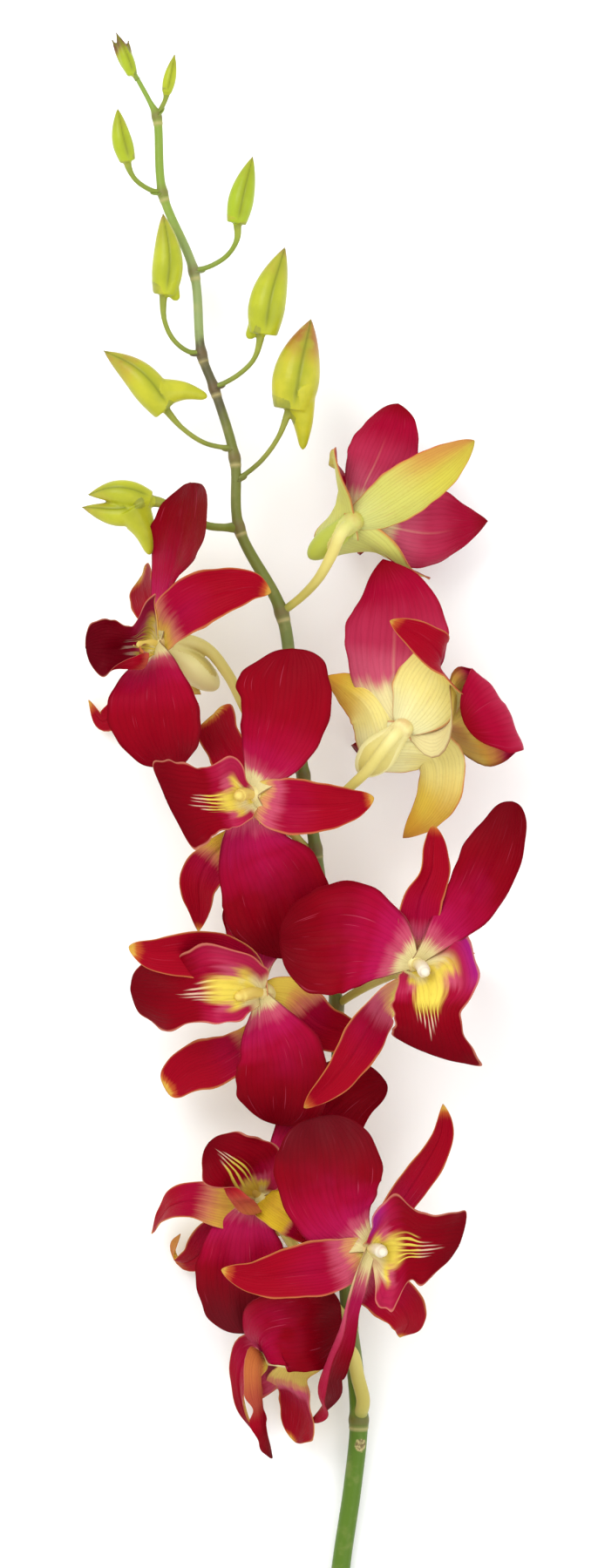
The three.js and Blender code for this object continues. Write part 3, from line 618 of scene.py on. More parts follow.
def lip_paint_of(name):
    paint = TissuePaint(name, 160.0)
    frayed = paint.along + (paint.streak - 0.5) * 0.18
    slim_side = paint.side * paint.note("slim")  # the distance from the middle line
    left_over = paint.note("reach") - paint.along  # how much of the feather's length is still ahead
    ahead = paint.note("throat") - paint.along  # how much of the throat's length is still ahead
    feather = feather_of(paint, slim_side, ahead, left_over)
    lobes = with_throat(paint, lip_lobes(paint, frayed), slim_side, ahead)
    lobes = paint.blend(feather * 0.9, lobes, paint.blend(left_over.rises(0.3, 0.16), YELLOW, FEATHER_PINK))
    lobes = paint.blend(paint.note("dark") * paint.along.rises(0.08, 0.25), lobes, MAROON)
    rim = (paint.side + (paint.cloud - 0.5) * 0.08).rises(0.94, 0.99)
    lobes = paint.blend(rim * 0.55, lobes, SALMON)
    colour = paint.blend(paint.note("front"), paint.ramp(frayed, LIP_OUTSIDE), lobes)
    paint.velvet(paint.veined(colour, 0.25))
    paint.bump(feather * 0.9 + paint.veins * -0.3 + paint.streak * 0.6 + paint.grain() * 0.3, LIP_RELIEF)
    return paint.material


lip_paint = lip_paint_of("lip velvet")
print("nodes of the lip paint:", len(lip_paint.node_tree.nodes))

# %% [markdown]
# ### Stem, buds, stalks and column
#
# These are waxy. Their colours run along them, so a note named along is all that their paints need
# to know of the place. Clouds and flecks break up the colours, and a low bump dims the gloss.

# %% The marks of waxy skin
WAX_SHINE = 0.26
WAX_GRAIN_SCALE = 1500.0


class WaxPaint(Paint):
    """The paint of a waxy skin, with the share along the piece and the clouds and flecks there."""

    def __init__(self, name, cloud_scale, fleck_scale):
        super().__init__(name)
        self.along = self.note("along")
        self.cloud = self.noise(self.place(), cloud_scale, 3.0)
        self.fleck = self.noise(self.place(), fleck_scale, 3.0, 0.7)

    def wax(self, colour, roughness, relief=0.05):
        """Gives the shader a colour, an uneven gloss and a fine grain. The relief is its depth."""
        rough = roughness + (self.fleck - 0.5) * 0.2
        self.set(base_color=colour, roughness=rough, specular_ior_level=WAX_SHINE)
        self.bump(self.noise(self.place(), WAX_GRAIN_SCALE, 3.0), relief)
        return self.material


# %% [markdown]
# The stem is bright green at its thick end, greyer among the flowers and green again at its tip,
# with brown rings at its nodes, straw-coloured sheaths below them and one dry scar.

# %% The paint of the stem
GREEN = tone(86, 120, 18)
GREY_GREEN = tone(112, 124, 62)
OLIVE = tone(116, 122, 52)
DUSKY = tone(92, 88, 58)
PALE_GREEN = tone(150, 166, 102)
FRESH = tone(138, 164, 60)
BROWN = tone(122, 92, 62)
STRAW = tone(206, 188, 128)
STEM_COLOURS = [
    (0.0, GREEN), (0.17, GREEN), (0.22, GREY_GREEN), (0.62, GREY_GREEN), (0.70, OLIVE), (0.775, OLIVE),
    (0.79, DUSKY), (0.822, DUSKY), (0.838, PALE_GREEN), (0.875, PALE_GREEN), (0.92, FRESH), (1.0, FRESH)]


def stem_paint_of(name):
    paint = WaxPaint(name, 260.0, 1100.0)
    colour = paint.ramp(paint.along + (paint.cloud - 0.5) * 0.03, STEM_COLOURS)
    colour = paint.blend(paint.cloud.rises(0.5, 0.8) * 0.18, colour, STRAW)
    colour = paint.blend(paint.note("ring") * 0.55, colour, BROWN)
    colour = paint.blend(paint.note("sheath") * 0.6, colour, STRAW)
    scar = (paint.note("scar") + (paint.fleck - 0.5) * 0.5).rises(0.25, 0.5)
    colour = paint.blend(scar * 0.8, colour, paint.blend(paint.fleck.rises(0.4, 0.6), BROWN, STRAW))
    return paint.wax(colour, 0.42, 0.08)


stem_paint = stem_paint_of("stem skin")

# %% [markdown]
# A bud is olive at its foot and lime above. Notes say how green, how flushed at the tip and how ripe
# each one is. The seams between its sepals are darker, and painted shade lies in the hollows along them.

# %% The paint of the buds
LIGHT_OLIVE = tone(148, 150, 60)
LIME = tone(204, 198, 48)
FRESH_LIME = tone(166, 190, 34)
PALE_LIME = tone(206, 192, 66)
FLUSH = tone(178, 116, 48)
BUD_POINT = tone(170, 150, 74)
RIPE_BROWN = tone(104, 62, 42)
MOSS = tone(140, 152, 22)
# the painted shade in the wider hollows along a bud's seams
HOLLOW_SHADE_GREEN = tone(140, 150, 16)
SEAM_GREEN = tone(112, 120, 22)
BUD_COLOURS = [
    (0.0, OLIVE), (0.10, LIGHT_OLIVE), (0.2, LIME), (0.6, LIME), (0.85, PALE_LIME), (1.0, BUD_POINT)]


def bud_paint_of(name):
    paint = WaxPaint(name, 220.0, 1300.0)
    along, cloud, green = paint.along, paint.cloud, paint.note("green")
    flush = paint.note("flush") * along.rises(0.5, 0.9) * (0.4 + cloud.rises(0.35, 0.6))
    colour = paint.ramp(along + (cloud - 0.5) * 0.2, BUD_COLOURS)
    colour = paint.blend(green * along.rises(0.12, 0.2) * along.rises(1.05, 0.85), colour, FRESH_LIME)
    colour = paint.blend(green * along.rises(0.16, 0.1) * 0.7, colour, FRESH)
    colour = paint.blend(flush, colour, FLUSH)
    colour = paint.blend(paint.note("ripe") * along.rises(0.6, 0.82), colour, RIPE_BROWN)
    colour = paint.blend(along.rises(0.93, 1.0) * 0.5, colour, BROWN)
    colour = paint.blend(cloud.rises(0.5, 0.75) * along.rises(0.5, 0.9) * 0.3, colour, FLUSH)
    colour = paint.blend(cloud.rises(0.62, 0.35) * 0.25, colour, MOSS)
    # painted shade: the wider hollow along each seam is darkened, as if shade fell in it
    colour = paint.blend(paint.note("hollow") * 0.6, colour, HOLLOW_SHADE_GREEN)
    colour = paint.blend(paint.note("seam") * 0.5, colour, SEAM_GREEN)
    return paint.wax(colour, 0.32)


bud_paint = bud_paint_of("bud skin")

# %% [markdown]
# On the stalk of a flower the note named along goes from 0 at the stem to 1 at the heart, and on to 2
# at the tip of the chin. The stalk is olive, the ovary yellow and the chin cream, with a blush where
# they meet. The column is cream wax, paler towards its end.

# %% The paints of stalks and columns
STALK_GREEN = tone(194, 180, 88)
STALK_YELLOW = tone(228, 212, 120)
OVARY_CREAM = tone(250, 240, 166)
CHIN_CREAM = tone(254, 246, 172)
WAX_CREAM = tone(244, 236, 200)
WAX_WHITE = tone(248, 242, 216)
STALK_COLOURS = [
    (0.0, LIGHT_OLIVE), (0.08, STALK_GREEN), (0.34, STALK_YELLOW), (0.5, OVARY_CREAM), (1.0, CHIN_CREAM)]
COLUMN_COLOURS = [(0.0, PALE_YELLOW), (0.35, CREAM), (0.8, WAX_CREAM), (1.0, WAX_WHITE)]


def stalk_paint_of(name):
    paint = WaxPaint(name, 300.0, 1100.0)
    colour = paint.ramp(paint.along * 0.5 + (paint.cloud - 0.5) * 0.06, STALK_COLOURS)
    colour = paint.blend(paint.note("lime") * paint.along.rises(0.7, 1.1), colour, LIME_CREAM)
    heart = paint.along.rises(0.9, 0.99) * paint.along.rises(1.08, 1.0) * paint.cloud.rises(0.35, 0.6)
    return paint.wax(paint.blend(heart * 0.4, colour, BLUSH), 0.4)


def column_paint_of(name):
    paint = WaxPaint(name, 500.0, 1500.0)
    colour = paint.ramp(paint.along + (paint.cloud - 0.5) * 0.1, COLUMN_COLOURS)
    return paint.wax(paint.blend(paint.note("pale"), PALE_YELLOW, colour), 0.35)


stalk_paint = stalk_paint_of("stalk skin")
column_paint = column_paint_of("column wax")
print("paints:", len(bpy.data.materials))

# %% [markdown]
# ## The stem
#
# The stem is one line with a thickness at each place, and swells into a ring where a stalk leaves
# it. That is what Curve to Mesh is for: the curve carries a radius at each point, and a Geometry
# Nodes tree sweeps a circle along it.

# %% The values of the stem
STEM = [
    # place, thickness, whether a stalk leaves there
    ((5, -192, 2.0), 4.3, False),
    ((8.4, -160, 2.6), 4.3, False),
    ((11, -142, 4), 4.2, False),
    ((12.4, -126.8, 6), 4.2, True),
    ((11.2, -112, 8), 3.8, False),
    ((10.2, -104, 9), 3.6, True),
    ((9.4, -93, 10.4), 3.6, True),
    ((8.6, -80, 11.5), 3.4, False),
    ((7.8, -52.4, 14.5), 3.3, True),
    ((7.2, -31, 17), 3.1, True),
    ((4.4, -10, 20), 2.9, False),
    ((2.4, 5, 22), 2.8, True),
    ((-0.4, 22, 23.4), 2.8, True),
    ((-2.8, 40, 24), 2.8, False),
    ((-5.4, 59.4, 24), 2.9, True),
    ((-15.2, 79, 22.5), 2.4, True),
    ((-16.2, 95, 21), 2.3, True),
    ((-20.9, 111, 19), 2.1, True),
    ((-23.8, 119, 18), 2.1, True),
    ((-25.6, 138, 15.5), 2.1, True),
    ((-32.8, 156.2, 12.5), 2.0, True),
    ((-34.2, 174, 10), 1.9, True),
    ((-35.8, 177.4, 9.4), 1.15, False),
    ((-39.4, 184, 8.7), 1.0, False),
]
NODE_SWELLING = 0.3
SHEATH_RISE = 0.1
NODE_REACH = 1.5
SHEATH_BELOW, SHEATH_EDGE = 1.8, 0.35  # how far below a node the edge of a sheath lies, and its width
STEM_STEP = 0.4  # length between two rings of points
STEM_SIDES = 28

SCAR, SCAR_SIZE = (13.0, -132.6, 7.4), 1.5  # a dry spot low on the stem

stem_path = Path([point for point, _, _ in STEM])
STEM_SHARES = stem_path.far[[k * SAMPLES for k in range(len(STEM))]] / stem_path.length
print("length of the stem:", round(stem_path.length), "mm")


def stem_rings(shares, below=0.0, reach=NODE_REACH):
    """How much each share lies in a ring round the stem at or below a node, from 0 to 1."""
    nodes = STEM_SHARES[[node for _, _, node in STEM]]
    away = (shares[:, None] - nodes[None]) * stem_path.length + below
    return np.exp(-((away / reach) ** 2)).max(axis=1)


def stem_sheaths(shares):
    return stem_rings(shares, SHEATH_BELOW, SHEATH_EDGE)


def stem_radii(shares):
    base = np.interp(shares, STEM_SHARES, [wide / 2 for _, wide, _ in STEM])
    return base + NODE_SWELLING * stem_rings(shares) + SHEATH_RISE * stem_sheaths(shares)


# %% A tree that sweeps a circle along a curve
def new_tree(name, inputs):
    """An empty tree with a geometry in and out, and named inputs after it."""
    tree = bpy.data.node_groups.new(name, "GeometryNodeTree")
    tree.interface.new_socket("Geometry", in_out="INPUT", socket_type="NodeSocketGeometry")
    tree.interface.new_socket("Geometry", in_out="OUTPUT", socket_type="NodeSocketGeometry")
    sockets = {}
    for label, kind in inputs.items():
        sockets[label] = tree.interface.new_socket(label, in_out="INPUT", socket_type=kind).identifier
    return tree, tree.nodes.new("NodeGroupInput"), tree.nodes.new("NodeGroupOutput"), sockets


def chain(tree, *nodes):
    """Links the geometry through nodes in a row."""
    for before, after in zip(nodes, nodes[1:]):
        out = next(s for s in before.outputs if s.type == "GEOMETRY")
        into = next(s for s in after.inputs if s.type == "GEOMETRY")
        tree.links.new(out, into)


def sweep_tree():
    tree, start, end, sockets = new_tree("sweep a circle", {
        "Sides": "NodeSocketInt", "Paint": "NodeSocketMaterial"})
    circle = tree.nodes.new("GeometryNodeCurvePrimitiveCircle")
    circle.mode = "RADIUS"
    circle.inputs["Radius"].default_value = 1.0
    sweep = tree.nodes.new("GeometryNodeCurveToMesh")
    sweep.inputs["Fill Caps"].default_value = True
    smooth = tree.nodes.new("GeometryNodeSetShadeSmooth")
    realize = tree.nodes.new("GeometryNodeRealizeInstances")
    paint = tree.nodes.new("GeometryNodeSetMaterial")
    tree.links.new(start.outputs["Sides"], circle.inputs["Resolution"])
    tree.links.new(circle.outputs["Curve"], sweep.inputs["Profile Curve"])
    radius = tree.nodes.new("GeometryNodeInputRadius")
    tree.links.new(radius.outputs["Radius"], sweep.inputs["Scale"])
    tree.links.new(start.outputs["Paint"], paint.inputs["Material"])
    chain(tree, start, sweep, smooth, realize, paint, end)
    return tree, sockets


def curve_object(name, points, radii):
    curve = bpy.data.curves.new(name, "CURVE")
    curve.dimensions = "3D"
    line = curve.splines.new("POLY")
    line.points.add(len(points) - 1)
    spots = np.hstack([np.asarray(points) * MM, np.ones((len(points), 1))])
    line.points.foreach_set("co", spots.ravel())
    line.points.foreach_set("radius", np.asarray(radii) * MM)
    piece = bpy.data.objects.new(name, curve)
    bpy.context.scene.collection.objects.link(piece)
    return piece


def swept(name, points, radii, sides, paint):
    """A mesh piece swept along points by the tree above."""
    guide = curve_object(name + " guide", points, radii)
    tree, sockets = sweep_tree()
    modifier = guide.modifiers.new("sweep", "NODES")
    modifier.node_group = tree
    modifier[sockets["Sides"]] = sides
    modifier[sockets["Paint"]] = paint
    graph = bpy.context.evaluated_depsgraph_get()
    mesh = bpy.data.meshes.new_from_object(guide.evaluated_get(graph))
    guide.modifiers.clear()
    bpy.data.objects.remove(guide)
    piece = bpy.data.objects.new(name, mesh)
    bpy.context.scene.collection.objects.link(piece)
    return piece


def nearest_share(path, spots, count):
    """The share of the path that lies nearest to each spot, out of so many shares."""
    shares = np.linspace(0, 1, count)
    line = path.at(shares)
    return shares[np.array([np.argmin(((line - spot) ** 2).sum(axis=1)) for spot in spots])]


# %% The stem's skin
def make_stem():
    count = int(stem_path.length / STEM_STEP)
    shares = np.linspace(0, 1, count + 1)
    stem = swept("stem_skin", stem_path.at(shares), stem_radii(shares), STEM_SIDES, stem_paint)
    near = nearest_share(stem_path, points_of(stem), 1200)
    write_note(stem.data, "along", near)
    write_note(stem.data, "ring", stem_rings(near))
    write_note(stem.data, "sheath", stem_sheaths(near))
    from_scar = length(points_of(stem) - np.array(SCAR))
    write_note(stem.data, "scar", np.exp(-((from_scar / SCAR_SIZE) ** 2)))
    finish_piece(stem, ["stem"], stem_paint)
    return stem


stem_skin = make_stem()
print("stem faces:", len(stem_skin.data.polygons))

# %% [markdown]
# ## Leaves of tissue
#
# Petals, sepals and lips are all thin sheets that follow a line, with a width that changes along
# it, a cup across it and a ruffled edge. One recipe makes them all. It lays out a grid of points
# with more of them at the tip and at the edges, pushes the grid out to a front and a back, and
# closes the rim between them.

# %% One sheet of tissue
ROWS = 52
COLUMNS = 34
MIDDLE_THICKNESS = 0.6
EDGE_THICKNESS = 0.22
LYING = 0.4  # height of the middle of a sheet that lies on the table
CLAW = 1.7  # half the width of a petal where it leaves the heart
POINT_WIDTH = 0.06  # half the width at the very tip
WAVES, FRILLS, SWELLS = 9, 24, 7  # ruffles along a sheet, in radians, from its broad waves to its frill
SWELL_HEIGHT = 0.12
GROOVE_WIDTH = 0.07  # of the groove along the middle, as a share of half the width
NOTCHES, FINE_NOTCHES = 17, 41  # the same for the uneven outline


@dataclass
class Sheet:
    """A thin sheet along a line, with everything that shapes it."""
    points: list
    face: tuple
    half_width: object  # a function of the share along it
    tip_face: tuple = None
    turn: tuple = (0, 0.5)  # between which shares of its length it turns to the way its tip faces
    left: list = field(default_factory=lambda: [1.0])  # how wide its left side is, from heart to tip
    right: list = field(default_factory=lambda: [1.0])
    cup_left: list = field(default_factory=lambda: [0.3])  # the angle that its left edge turns up
    cup_right: list = field(default_factory=lambda: [0.3])
    lift: float = 1.0  # how high the turned-up edges stand
    wave: float = 1.0  # height of the ruffles at its edge
    frill: float = 0.2  # height of the small ruffles
    skew: float = 0.0  # how far one corner of its end reaches ahead
    sweep: float = 0.0  # how far its sides lean back near the heart
    ridge: float = 0.0  # depth of the groove along its middle
    nibble: float = 0.018  # how uneven its outline is, as a share of its width
    rows: int = ROWS
    columns: int = COLUMNS
    seed: int = 0
    notes: dict = field(default_factory=dict)  # what else its paint needs to know


def blade_width(wide, rise, fall, claw):
    """Narrow at the heart, full in the middle, and drawn to a tip."""
    peak = rise / (rise + fall)
    top = peak ** rise * (1 - peak) ** fall

    def half(t):
        body = wide * t ** rise * (1 - t) ** fall / top
        return np.maximum(np.hypot(body, claw * (1 - t) ** 2), POINT_WIDTH)

    return half


def shaped(values, t):
    """A smooth value at each share, from a few values that are evenly spread."""
    known = np.asarray(values, dtype=float)
    if len(known) == 1:
        return np.full_like(t, known[0])
    spread = t * (len(known) - 1)
    low = np.clip(np.floor(spread).astype(int), 0, len(known) - 2)
    slope = np.gradient(known)
    u = spread - low
    fall, rise = 2 * u ** 3 - 3 * u ** 2 + 1, 3 * u ** 2 - 2 * u ** 3
    bend = (u ** 3 - 2 * u ** 2 + u) * slope[low] + (u ** 3 - u ** 2) * slope[low + 1]
    return fall * known[low] + rise * known[low + 1] + bend


def both_sides(S, t, left, right):
    """Values of the left side where S is below 0, and of the right side elsewhere."""
    return np.where(S < 0, shaped(left, t)[:, None], shaped(right, t)[:, None])


def ruffles(sheet, T, S, half, phases):
    """The height of the waves, from the broad swell of the sheet down to the frill at its edge."""
    middle = np.sin(np.pi * T)
    side = np.where(S < 0, 2.1, 0)
    own = np.where(S < 0, *phases[1:3])
    height = sheet.wave * np.abs(S) ** 3 * middle * np.sin(WAVES * T + side)
    height = height + sheet.frill * S ** 4 * np.sqrt(middle + 1e-6) * np.sin(FRILLS * T + own)
    swell = np.sin(0.8 * S * half + phases[3]) * np.sin(SWELLS * T + phases[4])
    height = height + SWELL_HEIGHT * half ** 0.5 * swell
    return height - sheet.ridge * np.exp(-((S / GROOVE_WIDTH) ** 2)) * middle


def half_widths(sheet, t, T, S, phases):
    """Half the width at each point of the grid, with the unevenness of a grown edge."""
    uneven = np.sin(NOTCHES * T + phases[0])
    uneven = uneven + 0.7 * np.sin(FINE_NOTCHES * T + phases[5] + np.where(S < 0, 2, 0))
    half = sheet.half_width(t)[:, None] * both_sides(S, t, sheet.left, sheet.right)
    return half * (1 + sheet.nibble * uneven * S ** 4)


def sheet_grid(sheet):
    """A grid of points on the middle of the sheet, with the share along it and the place across it."""
    t = np.sin(np.pi / 2 * np.linspace(0, 1, sheet.rows + 1))
    s = np.sin(np.pi / 2 * np.linspace(-1, 1, sheet.columns + 1))
    line = Path(sheet.points)
    places, ways, facing, across = frames_along(line, t, sheet.face, sheet.tip_face, sheet.turn)
    phases = np.random.default_rng(sheet.seed).uniform(0, 2 * np.pi, 8)
    T, S = t[:, None], s[None]
    half = half_widths(sheet, t, T, S, phases)
    cup = both_sides(S, t, sheet.cup_left, sheet.cup_right)
    cup = np.where(np.abs(cup) < 1e-3, 1e-3, cup)
    sideways = np.sin(cup * S) / cup * half
    height = (1 - np.cos(cup * S)) / cup * half * sheet.lift + ruffles(sheet, T, S, half, phases)
    ahead = sheet.skew * S * half * ease(T)
    ahead = ahead - sheet.sweep * np.abs(S) ** 1.5 * half * (1 - ease(T / 0.5))
    grid = places[:, None] + across[:, None] * sideways[..., None]
    grid = grid + facing[:, None] * height[..., None] + ways[:, None] * ahead[..., None]
    return grid, t, s


def grid_normals(grid):
    along = np.gradient(grid, axis=0)
    across = np.gradient(grid, axis=1)
    return unit(np.cross(across, along))


def sheet_faces(rows, columns):
    step = columns + 1
    behind = (rows + 1) * step
    faces = []
    for i in range(rows):
        for j in range(columns):
            a, b, c, d = i * step + j, i * step + j + 1, (i + 1) * step + j + 1, (i + 1) * step + j
            faces.append((a, b, c, d))
            faces.append((a + behind, d + behind, c + behind, b + behind))
    rim = list(range(columns))
    rim += [i * step + columns for i in range(rows)]
    rim += [rows * step + j for j in range(columns, 0, -1)]
    rim += [i * step for i in range(rows, 0, -1)]
    for p, q in zip(rim, rim[1:] + rim[:1]):
        faces.append((q, p, p + behind, q + behind))
    return faces


def rested(z):
    """Heights above the table: what would dip below it bends and lies on it."""
    above = (z - LYING) / 2
    return LYING + above + np.hypot(above, LYING)


def make_sheet(name, sheet):
    grid, t, s = sheet_grid(sheet)
    grid[..., 2] = rested(grid[..., 2])
    normals = grid_normals(grid)
    half = mix(MIDDLE_THICKNESS, EDGE_THICKNESS, np.abs(s) ** 3)[None, :, None] / 2
    half = half * mix(1.0, 0.5, t ** 4)[:, None, None]
    front = (grid + normals * half).reshape(-1, 3)
    back = (grid - normals * half).reshape(-1, 3)
    S, T = np.meshgrid(s, t)
    leaf = np.stack([S.ravel() / 2 + 0.5, T.ravel()], axis=-1)
    count = len(front)
    notes = {
        "front": np.concatenate([np.ones(count), np.zeros(count)]),
        "seed": np.full(2 * count, sheet.seed % 97),
        **{note: np.full(2 * count, value) for note, value in sheet.notes.items()},
    }
    return mesh_object(name, np.vstack([front, back]), sheet_faces(sheet.rows, sheet.columns),
                       np.vstack([leaf, leaf]), notes)


# %% [markdown]
# ## The flowers
#
# Each flower is a heart that looks one way, with its pieces given as lines from the heart outwards and
# the half of their greatest width. The lines and widths are those of the solids. A few values more,
# such as the shape of each side of a petal, are read off the photograph. Left and right are
# seen from the front of a piece, with the heart at its foot.

# %% The values of flowers 1 to 3
FLOWERS = [
    # flower 1, the highest at the left, looks left and up
    dict(
        heart=(-34, 52.6, 25),
        facing=(-0.75, -0.1, 0.65),
        chin=(-20, 42, 18),
        chin_radius=3.8,
        stalk=[(-0.4, 22, 23.4), (-5, 26.4, 22), (-12, 34, 21), (-17.6, 45, 22), (-22.4, 51, 23),
               (-27, 53, 24)],
        dorsal=dict(via=[(-30, 58, 32), (-24.2, 62, 35), (-17.2, 64.4, 36.6), (-12, 65.2, 36),
                         (-7.8, 64, 34)], wide=6.5, sunny=0.5,
                    right=[1, 1, 1.08, 1.08, 1, 1]),
        petals=[
            dict(via=[(-32.4, 60, 26.4), (-30.4, 68, 29.4), (-28.4, 77, 34), (-27.2, 83.4, 36),
                      (-26.2, 89, 35)],
                 wide=9.6, face=(-0.82, 0, 0.58), right=[1, 0.5, 0.2, 0.75, 1.5, 1.4],
                 left=[1, 1, 1, 1, 1, 1.1]),
            dict(via=[(-34.6, 45, 29), (-34.4, 37, 30), (-32.8, 29, 28), (-30, 23.4, 24)], wide=11,
                 fall=0.65, glow=0.2,
                 face=(-0.3, -0.1, 0.95), right=[1, 1.06, 1.06, 1, 0.82, 0.6],
                 left=[1, 1, 1, 1.02, 1, 0.9]),
        ],
        laterals=[
            dict(via=[(-35, 60, 20), (-36.6, 64.6, 16), (-37.4, 68.4, 12)], wide=5.5, fall=0.42,
                 left=[1, 0.7, 0.7, 0.9, 1.2, 1.8], right=[1, 0.7, 0.7, 0.9, 1.2, 1.8], dull=0.5),
            dict(via=[(-37.4, 45.4, 16), (-42, 38.6, 9), (-46.6, 34.6, 4), (-50, 39.4, 2)], wide=4.6,
                 right=[1, 0.4, 0.35, 0.6, 0.9, 1]),
        ],
        lip=dict(via=[(-37, 52.6, 29), (-41, 52.6, 32), (-45.6, 52, 34.4), (-50.2, 51.2, 35.5)],
                 right=[3, 9.6, 10.4, 4.4, 3.6, 4.8, 6.2, 6.2, 6],
                 left=[2.4, 12, 15, 15, 15, 14, 11, 8, 6], sweep=-0.9,
                 cup_left=[1.6, 2.6, 3, 3, 3, 3, 2.4, 1, 0],
                 cup_right=[0.9, 0.8, 0.6, 0.4, 0.3, 0.3, 0.1, 0, 0], reach=0.62, throat=0.05, dark=0.6,
                 face=(0.1, 0, 1)),
    ),
    # flower 2, the highest at the right, shows its back
    dict(
        heart=(11.6, 80.8, 28),
        lime=1,
        facing=(0.35, 0.3, -0.88),
        chin=(0.8, 72, 24),
        chin_radius=3.1,
        stalk=[(-5.4, 59.4, 24), (-0.6, 63.2, 26), (3.2, 67.4, 29), (6, 72.4, 31), (8.4, 77.6, 32)],
        dorsal=dict(via=[(16.6, 83, 31), (24.4, 88.2, 34), (31, 92.6, 34), (38.8, 98.8, 31)], wide=6.2,
                    blush=0.7),
        petals=[
            dict(via=[(13.6, 88, 26), (16.4, 94, 25), (18.8, 100, 23), (21.4, 107.4, 20)], wide=8,
                 fall=0.6),
            dict(via=[(20, 79, 26), (28, 77.8, 23), (35.6, 79, 18), (42, 80.6, 13)], wide=9.5, fall=0.8,
                 base=0.06,
                 left=[1, 1, 1, 0.95, 0.8, 0.6], right=[1, 0.9, 1.05, 1.1, 0.8, 0.6]),
        ],
        laterals=[
            dict(via=[(7.6, 84, 26), (8.4, 90, 24), (7.2, 93.6, 17), (5.6, 93.6, 9)], wide=5,
                 left=[1, 1, 2, 1.2, 1, 1], right=[1, 1, 2, 1.2, 1, 1]),
            dict(via=[(15, 74, 23), (20.6, 71.6, 18), (23.6, 70, 9), (24, 69.4, 0)], wide=7.4, fall=0.6),
        ],
        lip=dict(via=[(10, 77.6, 21), (9, 76, 13), (10, 75, 6), (12, 74.6, 3)],
                 right=[2.4, 4, 5, 5, 4, 4, 4, 4, 3], left=[2.4, 4, 5, 5, 4, 4, 4, 4, 3]),
    ),
    # flower 3, in the middle, looks up
    dict(
        heart=(-12.4, 17.6, 33),
        facing=(-0.35, -0.05, 0.93),
        chin=(-3.5, 7.5, 19),
        stalk=[(2.6, 4, 21.9), (0, 5.6, 22), (-4, 10, 23.5), (-9, 15, 28)],
        dorsal=dict(via=[(-6, 15.4, 36), (3, 15, 38), (10, 15.4, 36.5), (15.8, 16.8, 34)], wide=6.8,
                    left=[1, 1, 0.95, 0.85, 0.8, 0.9], right=[1, 1, 1, 0.95, 0.85, 0.9]),
        petals=[
            dict(via=[(-7.6, 27, 35), (-4.2, 37, 36), (-3.2, 45, 35.5), (-3, 51, 34)], wide=10.8,
                 face=(-0.1, 0, 1), glow=0.4,
                 left=[1, 1, 1, 1, 1.22, 1], right=[1, 1, 1, 0.95, 0.95, 1.1]),
            dict(via=[(-11.4, 5, 32), (-7.2, -4, 31), (-4.8, -12, 29.5), (-4.2, -20, 27.5)], wide=13,
                 face=(-0.08, 0, 1), right=[1, 0.88, 0.94, 1, 1, 1]),
        ],
        laterals=[
            dict(via=[(-15, 24, 27), (-18.8, 30.4, 22), (-21.2, 36, 17)], wide=5.2, fall=0.45, sunny=0.5,
                 left=[1, 1, 1, 1, 1.2, 2], right=[1, 1, 0.9, 0.9, 1.3, 2.4]),
            dict(via=[(-20, 5, 26), (-24, -2, 21), (-24.2, -8.4, 17), (-24.6, -14, 14)], wide=5.6,
                 base=0.25, sunny=0.8,
                 right=[1, 0.45, 0.5, 1, 1.1, 1]),
        ],
        lip=dict(via=[(-16, 15.4, 37), (-21, 15.2, 40.5), (-26, 15.8, 43), (-32, 17.2, 45)],
                 right=[2.4, 6, 12, 10, 8.4, 8.2, 8, 8, 8.4],
                 left=[2.4, 4.5, 5.5, 5.6, 6, 6.6, 8, 10.2, 8.8],
                 skew=0.7, blunt=24, reach=0.8, throat=0.4, slim=1.4, face=(0.1, 0, 1)),
    ),
]

